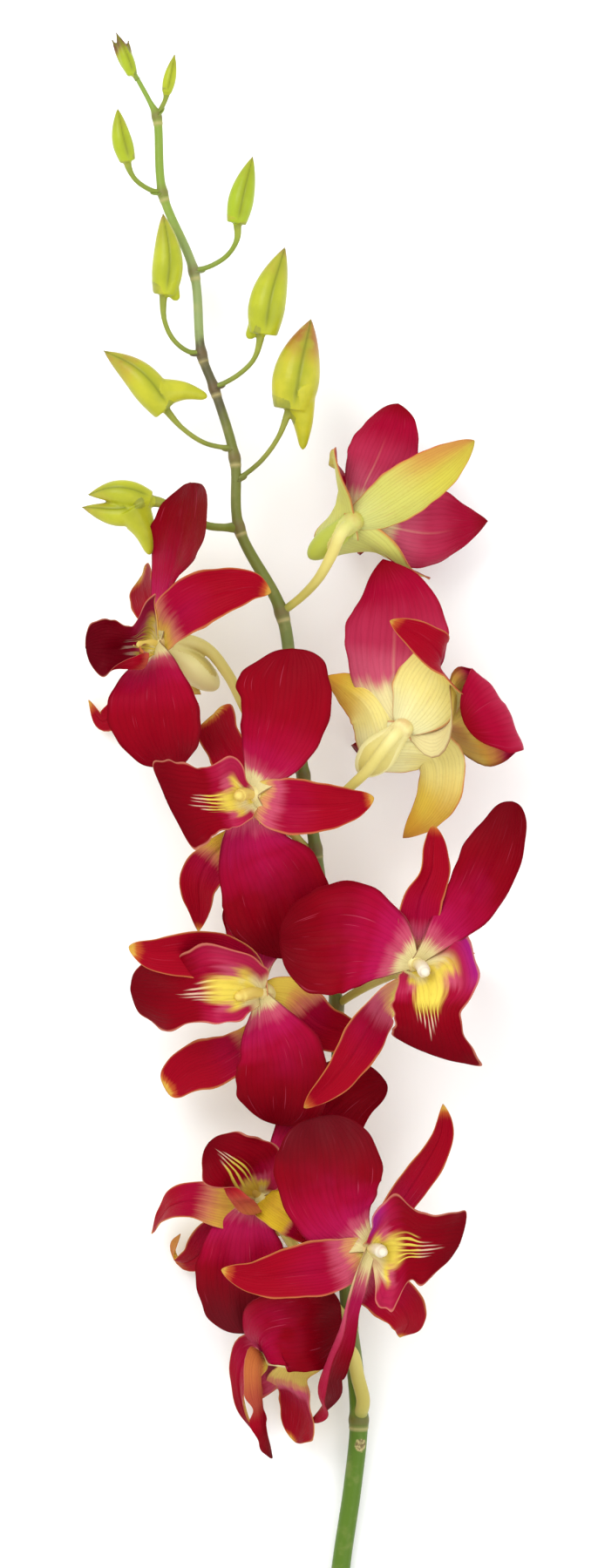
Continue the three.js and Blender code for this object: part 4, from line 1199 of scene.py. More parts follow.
# %% The values of flowers 4 to 6
FLOWERS += [
    # flower 4, at the right, shows its back
    dict(
        heart=(22.6, 32.8, 30),
        facing=(0.15, 0, -0.98),
        chin=(12.4, 22.4, 25),
        chin_radius=4.4,
        stalk=[(1.6, 9.6, 22.4), (6.4, 15.6, 26), (10.2, 19.2, 29), (14, 22.8, 31), (17.4, 27.2, 33),
               (20.4, 31, 33.5)],
        dorsal=dict(via=[(26, 38, 33), (29, 44, 34), (30.8, 49, 38), (27.4, 53, 41), (19.4, 57.4, 41)],
                    wide=7.2, tip_face=(0.3, 0.2, 0.95), turn=(0.3, 0.72),
                    left=[1.2, 1.3, 1.2, 1, 0.9, 0.8],
                    right=[1.2, 1.3, 1.2, 0.8, 0.7, 0.8]),
        petals=[
            dict(via=[(20.4, 45, 29), (20.6, 53.6, 30), (20.4, 62, 30), (17.8, 71.6, 29)], wide=12,
                 fall=0.85, base=0.08),
            dict(via=[(31, 33, 29), (39, 35.6, 29), (44.6, 37.8, 31), (45.4, 38, 35), (42, 36.4, 38),
                      (36.6, 33.6, 38.5)],
                 wide=11.5, base=0.3, sunny=0.7, left=[1, 1.7, 1.3, 1, 1, 1],
                 right=[1, 1.7, 1.3, 1, 1, 1]),
        ],
        laterals=[
            dict(via=[(15, 37, 28), (10, 41.6, 25), (4.8, 44.8, 21)], wide=5.5, blush=0.4),
            dict(via=[(29.4, 26.4, 27), (30.6, 20.6, 25), (28, 13.6, 19), (22.6, 7.6, 12)], wide=6.2,
                 blush=0.3),
        ],
        lip=dict(via=[(21, 30, 25), (18, 27.6, 17), (14.8, 26.8, 9), (12, 27.2, 3)],
                 right=[2.4, 5, 7, 6, 4, 4, 4, 4, 3], left=[2.4, 4, 5, 5, 4, 4, 4, 4, 3]),
    ),
    # flower 5, at the right, looks up
    dict(
        heart=(25.4, -21.2, 36),
        facing=(0.25, -0.25, 0.93),
        pale=1.0,
        chin=(19.4, -33, 24),
        stalk=[(7.2, -31, 17), (10, -29, 19), (15, -26, 23), (21, -23, 30)],
        dorsal=dict(via=[(25.6, -12, 38), (26.4, -6, 40), (28.8, 0, 40), (29.4, 6, 38), (29.4, 10.6, 36)],
                    wide=5.2,
                    left=[1, 1, 0.95, 0.65, 0.85, 1]),
        petals=[
            dict(via=[(18, -17.4, 39), (10, -15.4, 39), (2, -15.6, 38), (-5.8, -16, 35.5)], wide=13.2,
                 face=(0, 0, 1),
                 right=[1, 1.1, 1.1, 1, 0.82, 0.75]),
            dict(via=[(34, -12, 39), (38, -7, 42), (42, 0, 44), (45.2, 8, 44), (47.2, 16, 42)], wide=8,
                 face=(-0.5, -0.2, 0.8), right=[0.6, 0.7, 0.88, 0.97, 1, 1]),
        ],
        laterals=[
            dict(via=[(17.6, -30, 33), (12.6, -39, 35), (7.6, -46.6, 37), (-0.2, -54.2, 37)], wide=4.8,
                 fall=0.65),
            dict(via=[(30, -24, 27), (34, -21.6, 18), (36, -20.6, 9), (36.4, -21, 3)], wide=5.5),
        ],
        lip=dict(via=[(26.8, -25, 40), (27.8, -30, 43.5), (28.6, -35, 45), (29, -38.6, 44.4),
                      (29.2, -42, 43)],
                 left=[3, 13.4, 15, 13.4, 8, 6.8, 7.8, 9.6, 11.4],
                 right=[2.4, 4.4, 6, 7, 7.6, 7.6, 7.8, 8.2, 10],
                 skew=-0.45, sweep=0.3, blunt=40, purple=0.5, reach=0.84, throat=0.52, slim=1.1,
                 face=(0.1, 0.3, 0.95)),
    ),
    # flower 6, at the left, looks left and up
    dict(
        heart=(-10, -27.6, 27),
        facing=(-0.65, -0.15, 0.75),
        chin=(-3, -33, 17),
        stalk=[(7.8, -52.4, 14.5), (3, -47, 14.5), (-3, -38, 16.5), (-7.6, -31, 22)],
        dorsal=dict(via=[(-3, -29, 27), (2.6, -34.4, 26), (9, -37, 25), (15.4, -36.6, 23)], wide=6.3,
                    base=0.14, sunny=0.5),
        petals=[
            dict(via=[(-10.2, -22, 23.6), (-9.6, -14, 20), (-8.8, -6, 17), (-8.4, 0, 14.4)], wide=9.5,
                 face=(-0.15, -0.1, 1)),
            dict(via=[(-7.6, -36, 29), (-5.4, -43, 30), (-5, -51, 29), (-5.6, -58.4, 26)], wide=11.2,
                 face=(-0.2, -0.1, 0.95)),
        ],
        laterals=[
            dict(via=[(-13, -22, 28), (-19, -19, 32), (-27, -18.2, 36), (-34, -18.6, 37),
                      (-40.4, -17.4, 35)], wide=5.6,
                 fall=0.6, right=[1, 0.8, 0.8, 0.95, 1, 1], left=[1, 1, 1, 1.15, 1.25, 1.2]),
            dict(via=[(-14, -39.6, 22), (-20, -43.6, 20), (-26, -45.8, 17), (-32, -50.6, 13)], wide=6,
                 fall=0.42, base=0.12, sunny=0.7,
                 right=[1, 0.5, 0.7, 1, 1.05, 1.2], left=[1, 0.8, 0.9, 1, 1, 1.1]),
        ],
        lip=dict(via=[(-14, -28, 31), (-20, -28, 34.5), (-28, -28.4, 33), (-34, -28, 29.5),
                      (-40, -27.2, 26)],
                 right=[2.4, 9, 12.4, 13.4, 11, 8.4, 7.4, 6.8, 5],
                 left=[2.4, 5, 7.4, 7, 5.8, 7.4, 8.4, 7, 5.8],
                 blunt=30, reach=0.66, throat=0.4, slim=1.2, face=(-0.1, -0.1, 1)),
    ),
]

# %% The values of flowers 7 to 9
FLOWERS += [
    # flower 7, low at the right, looks up
    dict(
        heart=(15, -86.4, 33),
        facing=(0.35, -0.1, 0.93),
        pale=1.0,
        chin=(9, -92, 19),
        stalk=[(9.4, -93, 10.4), (11, -92.4, 14), (12.4, -90, 20), (14, -87.6, 27)],
        dorsal=dict(via=[(6.2, -91, 37), (-2, -92.2, 37.5), (-11.6, -93, 36), (-19.2, -91.4, 33.5)],
                    wide=5.6,
                    right=[1, 1.3, 1.4, 1.2, 1, 1]),
        petals=[
            dict(via=[(8.4, -80.4, 36), (5.8, -73.6, 37), (5.2, -65, 36), (3.2, -56.2, 33)], wide=12.8,
                 dull=0.7,
                 face=(0.1, 0, 1),
                 right=[1, 1, 1, 0.97, 0.88, 0.85]),
            dict(via=[(11.6, -95, 35), (8.8, -104, 33), (5.8, -112, 30), (3.8, -118, 25),
                      (4.6, -121.8, 21),
                      (1.6, -126.2, 16)], wide=5.6, dull=0.8, face=(0.8, 0, 0.5), cup=1.2),
        ],
        laterals=[
            dict(via=[(21, -77, 31), (26.8, -68.4, 29), (31, -60.6, 30), (31.6, -53.4, 34)], wide=4.6,
                 right=[1, 0.8, 0.75, 1.1, 1.2, 1.5]),
            dict(via=[(18, -95.6, 29), (22.4, -100.4, 26), (23.6, -104, 22), (21.8, -107.4, 17)], wide=6),
        ],
        lip=dict(via=[(17.6, -86.4, 37), (22, -86.4, 41), (27, -86.2, 43.5), (31, -85.8, 44),
                      (35.2, -85.4, 42.6)],
                 right=[2.4, 12.4, 14.6, 13.8, 8, 8, 7.6, 6, 4],
                 left=[2.4, 4, 8, 13, 14.8, 9.4, 7.6, 8, 8.2],
                 skew=-0.4, blunt=30, purple=0.6, throat=0.42, slim=1.3, face=(0, -0.1, 1)),
    ),
    # flower 8, low at the left, lies partly under flower 7
    dict(
        heart=(-10.6, -74.4, 21),
        facing=(-0.55, 0.45, 0.7),
        chin=(-3, -83, 12),
        stalk=[(10.2, -104, 9), (7, -100, 13), (2.4, -93.6, 19), (-1.4, -88, 23), (-4, -84, 25),
               (-7.5, -78.5, 24)],
        dorsal=dict(via=[(-7.6, -76.6, 26), (-3.4, -79.6, 28), (0, -82.6, 27), (2.6, -85.6, 25)],
                    wide=4.6, base=0.5, sunny=1),
        petals=[
            dict(via=[(-4, -68, 21.5), (3, -61, 22), (10, -53.6, 22), (18.6, -48.6, 20)], wide=11.5,
                 face=(-0.1, 0.1, 1),
                 right=[1, 1, 0.9, 0.7, 0.5, 0.5]),
            dict(via=[(-13.6, -82, 24), (-14.2, -90, 24.4), (-14.4, -98, 23.2), (-13.6, -106.4, 21)],
                 wide=11.5, cup=0.12,
                 dull=1, face=(-0.1, 0, 1), right=[1, 1, 1, 0.95, 0.88, 0.9]),
        ],
        laterals=[
            dict(via=[(-20, -76.8, 22), (-25.6, -75.8, 22), (-30.6, -77, 18), (-33.2, -80, 12),
                      (-35.4, -83.8, 6)],
                 wide=4.6, base=0.22, sunny=0.6),
            dict(via=[(-20, -83, 15), (-25, -89, 9), (-28.8, -90.4, 5), (-30.2, -88, 5),
                      (-28.8, -83.8, 9)], wide=4.4,
                 gold=1),
        ],
        lip=dict(via=[(-12.6, -72, 26), (-15, -68.4, 29.6), (-18.4, -65.4, 31.6), (-22.2, -62.4, 32)],
                 right=[2.4, 5, 7.4, 9, 9.8, 8.8, 7.2, 5.6, 4.4],
                 left=[2.4, 9, 14, 15, 14.4, 11, 8, 6, 4.6],
                 cup_left=[1.6, 2.8, 3, 3, 2.9, 2.4, 1, 0.2, -0.2], reach=0.94, throat=0.34, slim=1.7,
                 face=(0, -0.1, 1)),
    ),
    # flower 9, the lowest, looks left along the table
    dict(
        heart=(-9, -112, 19),
        column=4.4,
        facing=(-0.8, -0.5, 0.25),
        chin=(6.4, -113, 13),
        chin_radius=3.0,
        stalk=[(12.4, -126.4, 6), (13.4, -122.4, 9.5), (12.2, -117, 11.5), (10.6, -111, 13),
               (8.4, -109.6, 13),
               (4.4, -111.2, 13), (-1, -112.4, 14.5)],
        stalk_radius=1.65,
        dorsal=dict(via=[(-12, -106.4, 15), (-14.4, -101, 11), (-16, -96, 8.6), (-16.4, -91, 8)], wide=5),
        petals=[
            dict(via=[(-10, -108.4, 25), (-7.6, -106, 29), (-1, -105, 29), (8.4, -104, 23)], wide=10.5,
                 base=-0.25,
                 face=(-0.2, -0.2, 0.95)),
            dict(via=[(-10, -106, 11), (-8.4, -99, 6), (-5.6, -92.4, 4), (-4, -87, 3.5)], wide=9),
        ],
        laterals=[
            dict(via=[(-3, -118, 13), (-1.4, -122, 10), (-1.6, -126.6, 7), (-2.8, -131.6, 4)], wide=7,
                 fall=0.55, base=0.2,
                 left=[1, 0.5, 1.1, 1.6, 1.4, 1], right=[0.6, 0.7, 1, 1, 1, 1]),
            dict(via=[(-13, -112, 12), (-15.4, -117, 9), (-14, -125, 6), (-10.4, -131, 4)], wide=4.6,
                 dull=0.5,
                 right=[1, 1, 0.9, 0.7, 0.8, 1], left=[1, 1.6, 1.9, 1.7, 1.3, 1]),
        ],
        lip=dict(via=[(-10.6, -114, 24), (-10.6, -118.6, 23.4), (-10.2, -124, 20.4), (-9.2, -130, 16),
                      (-7.6, -135.4, 11)],
                 right=[2.4, 4.8, 5.2, 4.2, 2.8, 2.4, 2.6, 2.2, 1.2],
                 left=[2.4, 4.8, 5.2, 4.2, 2.8, 2.4, 2.6, 2.2, 1.2],
                 cup_left=[1, 1, 1, 0.9, 0.8], cup_right=[1, 1, 1, 0.9, 0.8], face=(-0.8, 0, -0.6)),
    ),
]

# %% [markdown]
# ### From a flower's values to its sheets
#
# The dorsal sepal and the petals leave from the heart. The two lower sepals are different: they
# grow from the sides of the chin, the spur below the flower, so their bases are as wide as it is.
# The lip is wide twice, at its side lobes, which stand up round the column, and at its middle lobe.

# %% Sheets of a flower
HUB_BEHIND = 1.2  # how far behind the heart the sepals meet
CHIN_SHARE = 0.46  # the lower sepals sit this far down the chin
LIP_ROOT = 0.12
LIP_CUP = [1.2, 1.3, 1.1, 0.8, 0.5, 0.3, 0.1, -0.1, -0.3]  # side lobes up, middle lobe bent back
LIP_SHAPE = {"wave": 0.8, "frill": 0.6, "nibble": 0.035, "lift": 0.8}
LIP_ROWS, LIP_COLUMNS = 84, 56


def vec(values):
    return np.array(values, dtype=float)


def behind_heart(flower):
    return vec(flower["heart"]) - unit(vec(flower["facing"])) * HUB_BEHIND


SHAPERS = ("left", "right", "cup_left", "cup_right", "skew", "sweep", "turn")


def extras(values, **usual):
    """What shapes a sheet: the usual values, and over them those that the piece states."""
    own = {key: values[key] for key in SHAPERS if key in values}
    return {**usual, **own}


USUAL_NOTES = {"base": 0, "sunny": 0, "gold": 0, "dull": 0, "lime": 0, "blush": 0, "glow": 1}
USUAL_LIP_NOTES = {"reach": 0.86, "purple": 0, "dark": 0, "slim": 1, "throat": 0.5}


def stated(usual, values):
    return {note: values.get(note, value) for note, value in usual.items()}


def paint_notes(values, lime=0):
    return stated({**USUAL_NOTES, "lime": lime}, values)


SEPAL_SHAPE = {"wave": 0.3, "ridge": 0.35}
DORSAL_CUP, LATERAL_CUP = 0.5, 0.45


def dorsal_sheet(flower, seed):
    values = flower["dorsal"]
    usual = {**SEPAL_SHAPE, "cup_left": [DORSAL_CUP], "cup_right": [DORSAL_CUP]}
    return Sheet([behind_heart(flower), *values["via"]], flower["facing"],
                 blade_width(values["wide"], 0.55, 0.7, 2.6), tip_face=values.get("tip_face"), seed=seed,
                 notes=paint_notes(values, flower.get("lime", 0)), **extras(values, **usual))


def lateral_sheet(flower, values, seed):
    heart, chin = behind_heart(flower), vec(flower["chin"])
    base = mix(heart, chin, CHIN_SHARE)
    edge = chin - heart
    face = np.cross(vec(values["via"][0]) - base, edge)
    if np.dot(face, vec(flower["facing"])) < 0:
        face = -face
    claw = np.linalg.norm(edge) * CHIN_SHARE
    width = blade_width(values["wide"], 0.5, values.get("fall", 0.8), claw)
    usual = {**SEPAL_SHAPE, "cup_left": [LATERAL_CUP], "cup_right": [LATERAL_CUP]}
    return Sheet([base, *values["via"]], face, width, tip_face=flower["facing"], seed=seed,
                 notes=paint_notes(values, flower.get("lime", 0)), **extras(values, **usual))


def petal_sheet(flower, values, seed):
    cup = [values.get("cup", 0.3)]
    return Sheet([flower["heart"], *values["via"]], flower["facing"],
                 blade_width(values["wide"], 0.9, values.get("fall", 0.5), CLAW),
                 tip_face=values.get("face", flower["facing"]), seed=seed, notes=paint_notes(values),
                 **extras(values, ridge=0.25, cup_left=cup, cup_right=cup))


def lip_end(blunt):
    """The end of a lip is broad, with round corners. It is squarer where blunt is larger."""
    return lambda t: np.sqrt(np.maximum(1 - t ** blunt, 0)) + POINT_WIDTH


def lip_sheet(flower, seed):
    values = flower["lip"]
    root = mix(vec(flower["heart"]), vec(flower["chin"]), LIP_ROOT)
    start = root + unit(vec(flower["facing"])) * 2
    width = lip_end(values.get("blunt", 12))
    usual = {**LIP_SHAPE, "cup_left": LIP_CUP, "cup_right": LIP_CUP}
    return Sheet([start, *values["via"]], values.get("face", flower["facing"]), width, seed=seed,
                 rows=LIP_ROWS, columns=LIP_COLUMNS, notes=stated(USUAL_LIP_NOTES, values),
                 **extras(values, **usual))


# %% [markdown]
# ### Parts that grow out of each other
#
# A flower's stalk thickens into its ovary, runs into the back of the flower and goes on as the
# chin, with no seam. A bud's stalk does the same. Tubes for these are made one by one and then
# remeshed into a single skin, which melts them together, and the skin is smoothed.

# %% Tubes that melt together
def tube(path, radius_at, sides, rows):
    """A closed round tube. Its radius is a function of the share along it."""
    t = (1 - np.cos(np.pi * np.linspace(0, 1, rows + 1))) / 2
    way = path.along(np.array([0.0]))[0]
    face = (0, 0, 1) if abs(way[2]) < 0.9 else (1, 0, 0)
    places, _, facing, across = frames_along(path, t, face)
    angle = np.linspace(0, 2 * np.pi, sides, endpoint=False)
    radius = radius_at(t)[:, None, None]
    ring = np.cos(angle)[None, :, None] * facing[:, None] + np.sin(angle)[None, :, None] * across[:, None]
    points = (places[:, None] + ring * radius).reshape(-1, 3)
    points = np.vstack([points, places[:1], places[-1:]])
    first, last = len(points) - 2, len(points) - 1
    faces = []
    for j in range(sides):
        k = (j + 1) % sides
        for i in range(rows):
            faces.append((i * sides + j, i * sides + k, (i + 1) * sides + k, (i + 1) * sides + j))
        faces.append((first, k, j))
        faces.append((last, rows * sides + j, rows * sides + k))
    return points, faces


def ball(middle, radius, stretch=1.0, way=(0, 0, 1)):
    """A closed ball, drawn out along a way."""
    half = unit(vec(way)) * radius * stretch
    line = Path([vec(middle) - half, vec(middle), vec(middle) + half])
    return tube(line, lambda t: radius * np.sqrt(np.maximum(1 - (2 * t - 1) ** 2, 1e-4)), 20, 14)


def melted(name, shells, voxel, rounds=5):
    """One skin round all the shells."""
    points, faces, count = [], [], 0
    for spots, sides in shells:
        points.append(spots)
        faces += [tuple(v + count for v in side) for side in sides]
        count += len(spots)
    piece = mesh_object(name, np.vstack(points), faces)
    remesh = piece.modifiers.new("melt", "REMESH")
    remesh.mode = "VOXEL"
    remesh.voxel_size = voxel * MM
    smooth = piece.modifiers.new("smooth", "SMOOTH")
    smooth.factor = 0.5
    smooth.iterations = rounds
    return applied(piece)


def nearest_on(paths, spots, count=160):
    """For each spot: which path is nearest, and the share along it."""
    lines = [path.at(np.linspace(0, 1, count)) for path in paths]
    table = np.vstack(lines)
    best = np.array([np.argmin(((table - spot) ** 2).sum(axis=1)) for spot in spots])
    return best // count, (best % count) / (count - 1)


# %% Stalk, ovary and chin of a flower
STALK_RADIUS = 1.0
OVARY_RADIUS = 1.5
HUB_RADIUS = 2.5
CHIN_RADIUS = 2.0  # half the thickness of the sac that the chin ends in


def rounded_end(t, share):
    """Draws a tube's end in, over the last share of its length."""
    return np.sqrt(np.maximum(1 - np.clip((t - 1 + share) / share, 0, 1) ** 2, 1e-4))


def make_stalk(name, flower):
    thin = flower.get("stalk_radius", STALK_RADIUS)
    thick = max(thin, OVARY_RADIUS)
    sac = flower.get("chin_radius", CHIN_RADIUS)
    back = behind_heart(flower)
    stalk = Path([*flower["stalk"], back])
    chin = Path([back, mix(back, vec(flower["chin"]), 0.5), flower["chin"]])
    shells = [
        tube(stalk, lambda t: mix(thin, thick, ease(t)), 18, 60),
        tube(chin, lambda t: mix(HUB_RADIUS, sac, ease(t / 0.6)) * rounded_end(t, 0.5), 22, 30),
        ball(back, HUB_RADIUS),
    ]
    piece = melted(name, shells, 0.36)
    which, share = nearest_on([stalk, chin], points_of(piece))
    write_note(piece.data, "along", share + which)
    write_note(piece.data, "lime", np.full(len(share), flower.get("lime", 0)))
    return piece


# %% The column
COLUMN_LENGTH = 8.4
COLUMN_RADIUS = 1.7
CAP_RADIUS, BEAK_RADIUS = 1.2, 0.9  # the cap on its end, and the small beak below the cap


def make_column(name, flower):
    heart, way = vec(flower["heart"]), unit(vec(flower["facing"]))
    end = heart + way * (flower.get("column", COLUMN_LENGTH) - 0.8)
    lean = unit(vec(flower["chin"]) - heart) * 0.7
    line = Path([heart, mix(heart, end, 0.5) - lean, end])
    shells = [
        tube(line, lambda t: COLUMN_RADIUS * mix(0.8, 0.92, ease(t)) * rounded_end(t, 0.1), 20, 24),
        ball(end - lean * 0.3, CAP_RADIUS, 1.15, way),
        ball(end + lean * 0.9 - way * 0.5, BEAK_RADIUS, 1.2, way + lean),
    ]
    piece = melted(name, shells, 0.26, 4)
    _, share = nearest_on([line], points_of(piece))
    write_note(piece.data, "along", share)
    write_note(piece.data, "pale", np.full(len(share), flower.get("pale", 0)))
    return piece


# %% All flowers
def make_flower(number, flower):
    name = f"flower_{number}"
    seed = number * 10
    finish_piece(make_stalk(f"{name}_stalk_and_chin", flower), [f"{name}_sepals"], stalk_paint)
    sheets = {"dorsal_sepal": dorsal_sheet(flower, seed)}
    for k, values in enumerate(flower["laterals"]):
        sheets[f"lower_sepal_{k + 1}"] = lateral_sheet(flower, values, seed + 1 + k)
    for part, sheet in sheets.items():
        finish_piece(make_sheet(f"{name}_{part}", sheet), [f"{name}_sepals"], sepal_paint)
    for k, values in enumerate(flower["petals"]):
        petal = make_sheet(f"{name}_broad_petal_{k + 1}", petal_sheet(flower, values, seed + 3 + k))
        finish_piece(petal, [f"{name}_petal_{k + 1}"], petal_paint)
    lip = make_sheet(f"{name}_ruffled_lip", lip_sheet(flower, seed + 5))
    finish_piece(lip, [f"{name}_lip"], lip_paint)
    finish_piece(make_column(f"{name}_pale_column", flower), [f"{name}_column"], column_paint)


for number, flower in enumerate(FLOWERS, start=1):
    make_flower(number, flower)
print("flowers:", len(FLOWERS))

# %% [markdown]
# ## The buds
#
# A closed bud is three sepals folded edge to edge, so three seams run from its base to its point. An
# older bud has a chin that points back along its stalk. The lowest bud has begun to open, and its tip
# is parted in two. The topmost bud is small and brown, and open in three tips. Each bud is melted
# from tubes, and its seams are then pressed into the skin point by point.

# %% The values of the buds
BUDS = [
    dict(stalk=[(-38.6, 182.4, 8.8), (-39.9, 184.4, 8.7)], lobes=[
        dict(body=[(-39.8, 183.6, 8.6), (-42.3, 187.8, 8.4), (-44.6, 191.8, 8.2)], wide=2.6),
        dict(body=[(-39.8, 183.6, 8.8), (-41.6, 188.6, 9.2), (-43.6, 193.4, 9.0)], wide=3.2),
        dict(body=[(-39.8, 183.6, 8.6), (-40.8, 187.4, 8.6), (-40.7, 191.6, 8.6)], wide=2.6),
    ], wide=3.2, ripe=1.0, green=0.8, flush=0.6),
    dict(stalk=[(-34.2, 174, 10), (-32.2, 177.8, 10.6), (-31.8, 180.2, 11)],
         body=[(-31.9, 179.4, 11), (-30, 188.4, 11)],
         wide=3.0, ripe=0.2, green=0.6),
    dict(stalk=[(-32.8, 156.2, 12.5), (-35.8, 157, 13), (-39.2, 159.4, 14), (-40.8, 162.6, 15),
                (-40.9, 164.4, 15)],
         body=[(-40.8, 163.4, 15), (-42.3, 168.8, 15.6), (-43.2, 175.8, 15.6)], wide=4.8, green=0.75),
    dict(stalk=[(-25.6, 138, 15.5), (-21, 139.6, 16.5), (-17.6, 142, 17.5), (-15.6, 145.6, 18.4),
                (-15.7, 150, 18.6)],
         body=[(-15.8, 149, 18.6), (-14.4, 156, 18.6), (-12, 164.6, 18)], wide=6, green=0.9),
    dict(stalk=[(-23.8, 119, 18), (-27, 119.6, 18.5), (-30.4, 122.4, 19.5), (-32.4, 127, 20),
                (-32.6, 134, 20)],
         body=[(-32.3, 132.6, 20), (-31.6, 141, 20.4), (-32.7, 151.4, 20)], wide=7.2, green=0.45,
         chin=[(-31.8, 136, 20), (-29.3, 131.2, 19.6)]),
    dict(stalk=[(-20.9, 111, 19), (-15, 114.4, 20.6), (-11.6, 118, 21.6), (-9.8, 124.5, 22)],
         body=[(-9.6, 123.4, 22), (-8.4, 132, 22.2), (-4.6, 143.6, 20.6)], wide=8.6, green=0.4,
         chin=[(-8.8, 129, 22), (-13.2, 122.4, 21)]),
    dict(stalk=[(-15.8, 89.6, 21.4), (-10, 94.4, 23.2), (-6, 100, 24), (-3.2, 107.5, 24)],
         body=[(-3.2, 106, 24), (-1.6, 116, 24), (1.4, 127, 22.4)], wide=11, flush=0.8,
         chin=[(-1.6, 110, 24), (-0.5, 103, 23), (-0.5, 96.8, 21.6)], chin_ends=(0.38, 0.06)),
    dict(stalk=[(-16.4, 97, 20.8), (-23, 98.4, 21.6), (-28.4, 102, 22), (-33, 107.4, 22)],
         body=[(-32, 106, 22), (-38.4, 113.8, 22.4), (-46.4, 119.7, 21)], wide=8, green=0.15, flush=0.5,
         chin=[(-34, 109.8, 22), (-28, 110.4, 21.4), (-22.4, 109, 20.8)], chin_ends=(0.46, 0.1)),
]
OPENING_BUD = dict(
    stalk=[(-15.2, 79, 22.5), (-19, 79, 22), (-22.4, 79.4, 21.8), (-28, 82, 22), (-33, 84.6, 24),
           (-38, 85.2, 26)],
    lobes=[
        dict(body=[(-35.6, 85, 25.6), (-43, 87, 26.4), (-50, 86.4, 25.6)], wide=6.4),
        dict(body=[(-36.6, 83, 25.4), (-43, 82, 25.4), (-51.4, 83.6, 24.4)], wide=6.2),
    ],
    chin=[(-39.8, 83.4, 25.4), (-37, 78.4, 25), (-35.6, 72.6, 24)],
    chin_ends=(0.62, 0.1),
    wide=7.4,
    stalk_radius=0.95,
    green=0.3,
)

# %% Buds
BUD_STALK_RADIUS = 0.62
BUD_BASE = 0.74  # how thick a bud is at its foot, as a share of its thickest place
BUD_PEAK = 0.32  # where along it a bud is widest
SEAM_DEPTH = 0.05  # as a share of the bud's width
SEAM_WIDTH, HOLLOW_WIDTH = 0.08, 0.4  # angles round the bud
CHIN_TONE = 0.5  # the chin has the colour of the middle of the bud
USUAL_CHIN_ENDS = (0.4, 0.1)  # the chin's half width at its foot and tip, as shares of the bud's width
SEAM_STEPS = 59
FIRST_SEAM = 0.41  # where the first seam lies, as a share of the angle between two seams
USUAL_BUD_NOTES = {"ripe": 0.15, "green": 0, "flush": 0}


def bud_radius(wide):
    radius = wide / 2

    def at(t):
        rising = radius * mix(BUD_BASE, 1, np.sin(np.pi / 2 * np.minimum(t / BUD_PEAK, 1)))
        falling = radius * (1 - (np.maximum(t - BUD_PEAK, 0) / (1 - BUD_PEAK)) ** 1.8) ** 0.95
        return np.maximum(np.where(t < BUD_PEAK, rising, falling), 0.25)

    return at


def chin_radius(wide, foot, tip):
    """The chin of a bud is a wedge, from the shares of the bud's width at its foot and tip."""
    return lambda t: wide * mix(foot, tip, t) * rounded_end(t, 0.12)


def bud_stalk_radius(radius):
    """A bud's stalk flares where it leaves the stem and where it meets the bud."""
    return lambda t: radius * (1 + 0.5 * (1 - ease(t / 0.15)) + 0.6 * ease((t - 0.6) / 0.4))


def bud_shells(bud, stalk_radius):
    shells = [tube(Path(bud["stalk"]), bud_stalk_radius(stalk_radius), 16, 50)]
    for lobe in bud.get("lobes", [bud]):
        shells.append(tube(Path(lobe["body"]), bud_radius(lobe["wide"]), 26, 50))
    if "chin" in bud:
        foot, tip = bud.get("chin_ends", USUAL_CHIN_ENDS)
        shells.append(tube(Path(bud["chin"]), chin_radius(bud["wide"], foot, tip), 24, 30))
    return shells


def seams_round(path, spots, shares):
    """The angle from each spot to the nearest of a bud's three seams, and how deep the seams are there."""
    places, _, facing, across = frames_along(path, np.linspace(0, 1, SEAM_STEPS + 1), (0, 0.3, 1))
    at = np.clip((shares * SEAM_STEPS).astype(int), 0, SEAM_STEPS)
    out = spots - places[at]
    angle = np.arctan2((out * across[at]).sum(axis=1), (out * facing[at]).sum(axis=1))
    beside = np.abs((angle * 3 / (2 * np.pi) + FIRST_SEAM) % 1 - 0.5) * 2 * np.pi / 3
    return beside, ease(shares * 5)


def seams_of(bodies, spots, which, share):
    """How much each spot lies in a seam, and in the wider hollow along it, from 0 to 1."""
    seam, hollow = np.zeros(len(spots)), np.zeros(len(spots))
    for k, path in enumerate(bodies):
        mine = which == k + 1
        beside, depth = seams_round(path, spots[mine], share[mine])
        seam[mine] = np.exp(-((beside / SEAM_WIDTH) ** 2)) * depth
        hollow[mine] = np.exp(-((beside / HOLLOW_WIDTH) ** 2)) * depth
    return seam, hollow


def press_in(piece, spots, depths):
    """Moves each point of a piece inwards by its depth."""
    normals = np.zeros(len(spots) * 3)
    piece.data.vertices.foreach_get("normal", normals)
    moved = spots - normals.reshape(-1, 3) * depths[:, None]
    piece.data.vertices.foreach_set("co", (moved * MM).ravel())
    piece.data.update()


def make_bud(number, bud):
    stalk_radius = bud.get("stalk_radius", min(BUD_STALK_RADIUS, bud["wide"] * 0.2))
    piece = melted(f"bud_{number}_skin", bud_shells(bud, stalk_radius), 0.28, 4)
    spots = points_of(piece)
    bodies = [Path(lobe["body"]) for lobe in bud.get("lobes", [bud])]
    chins = [Path(bud["chin"])] if "chin" in bud else []
    which, share = nearest_on([Path(bud["stalk"]), *bodies, *chins], spots)
    on_body, on_chin = which > 0, which > len(bodies)
    seam, hollow = seams_of(bodies, spots, which, share)
    press_in(piece, spots, (seam + hollow) / 2 * SEAM_DEPTH * bud["wide"])
    along = np.where(on_body, 0.2 + 0.8 * share, 0.14 * share)
    write_note(piece.data, "along", np.where(on_chin, CHIN_TONE, along))
    write_note(piece.data, "seam", seam)
    write_note(piece.data, "hollow", hollow)
    for note, usual in USUAL_BUD_NOTES.items():
        write_note(piece.data, note, np.full(len(spots), bud.get(note, usual)))
    finish_piece(piece, [f"bud_{number}"], bud_paint)


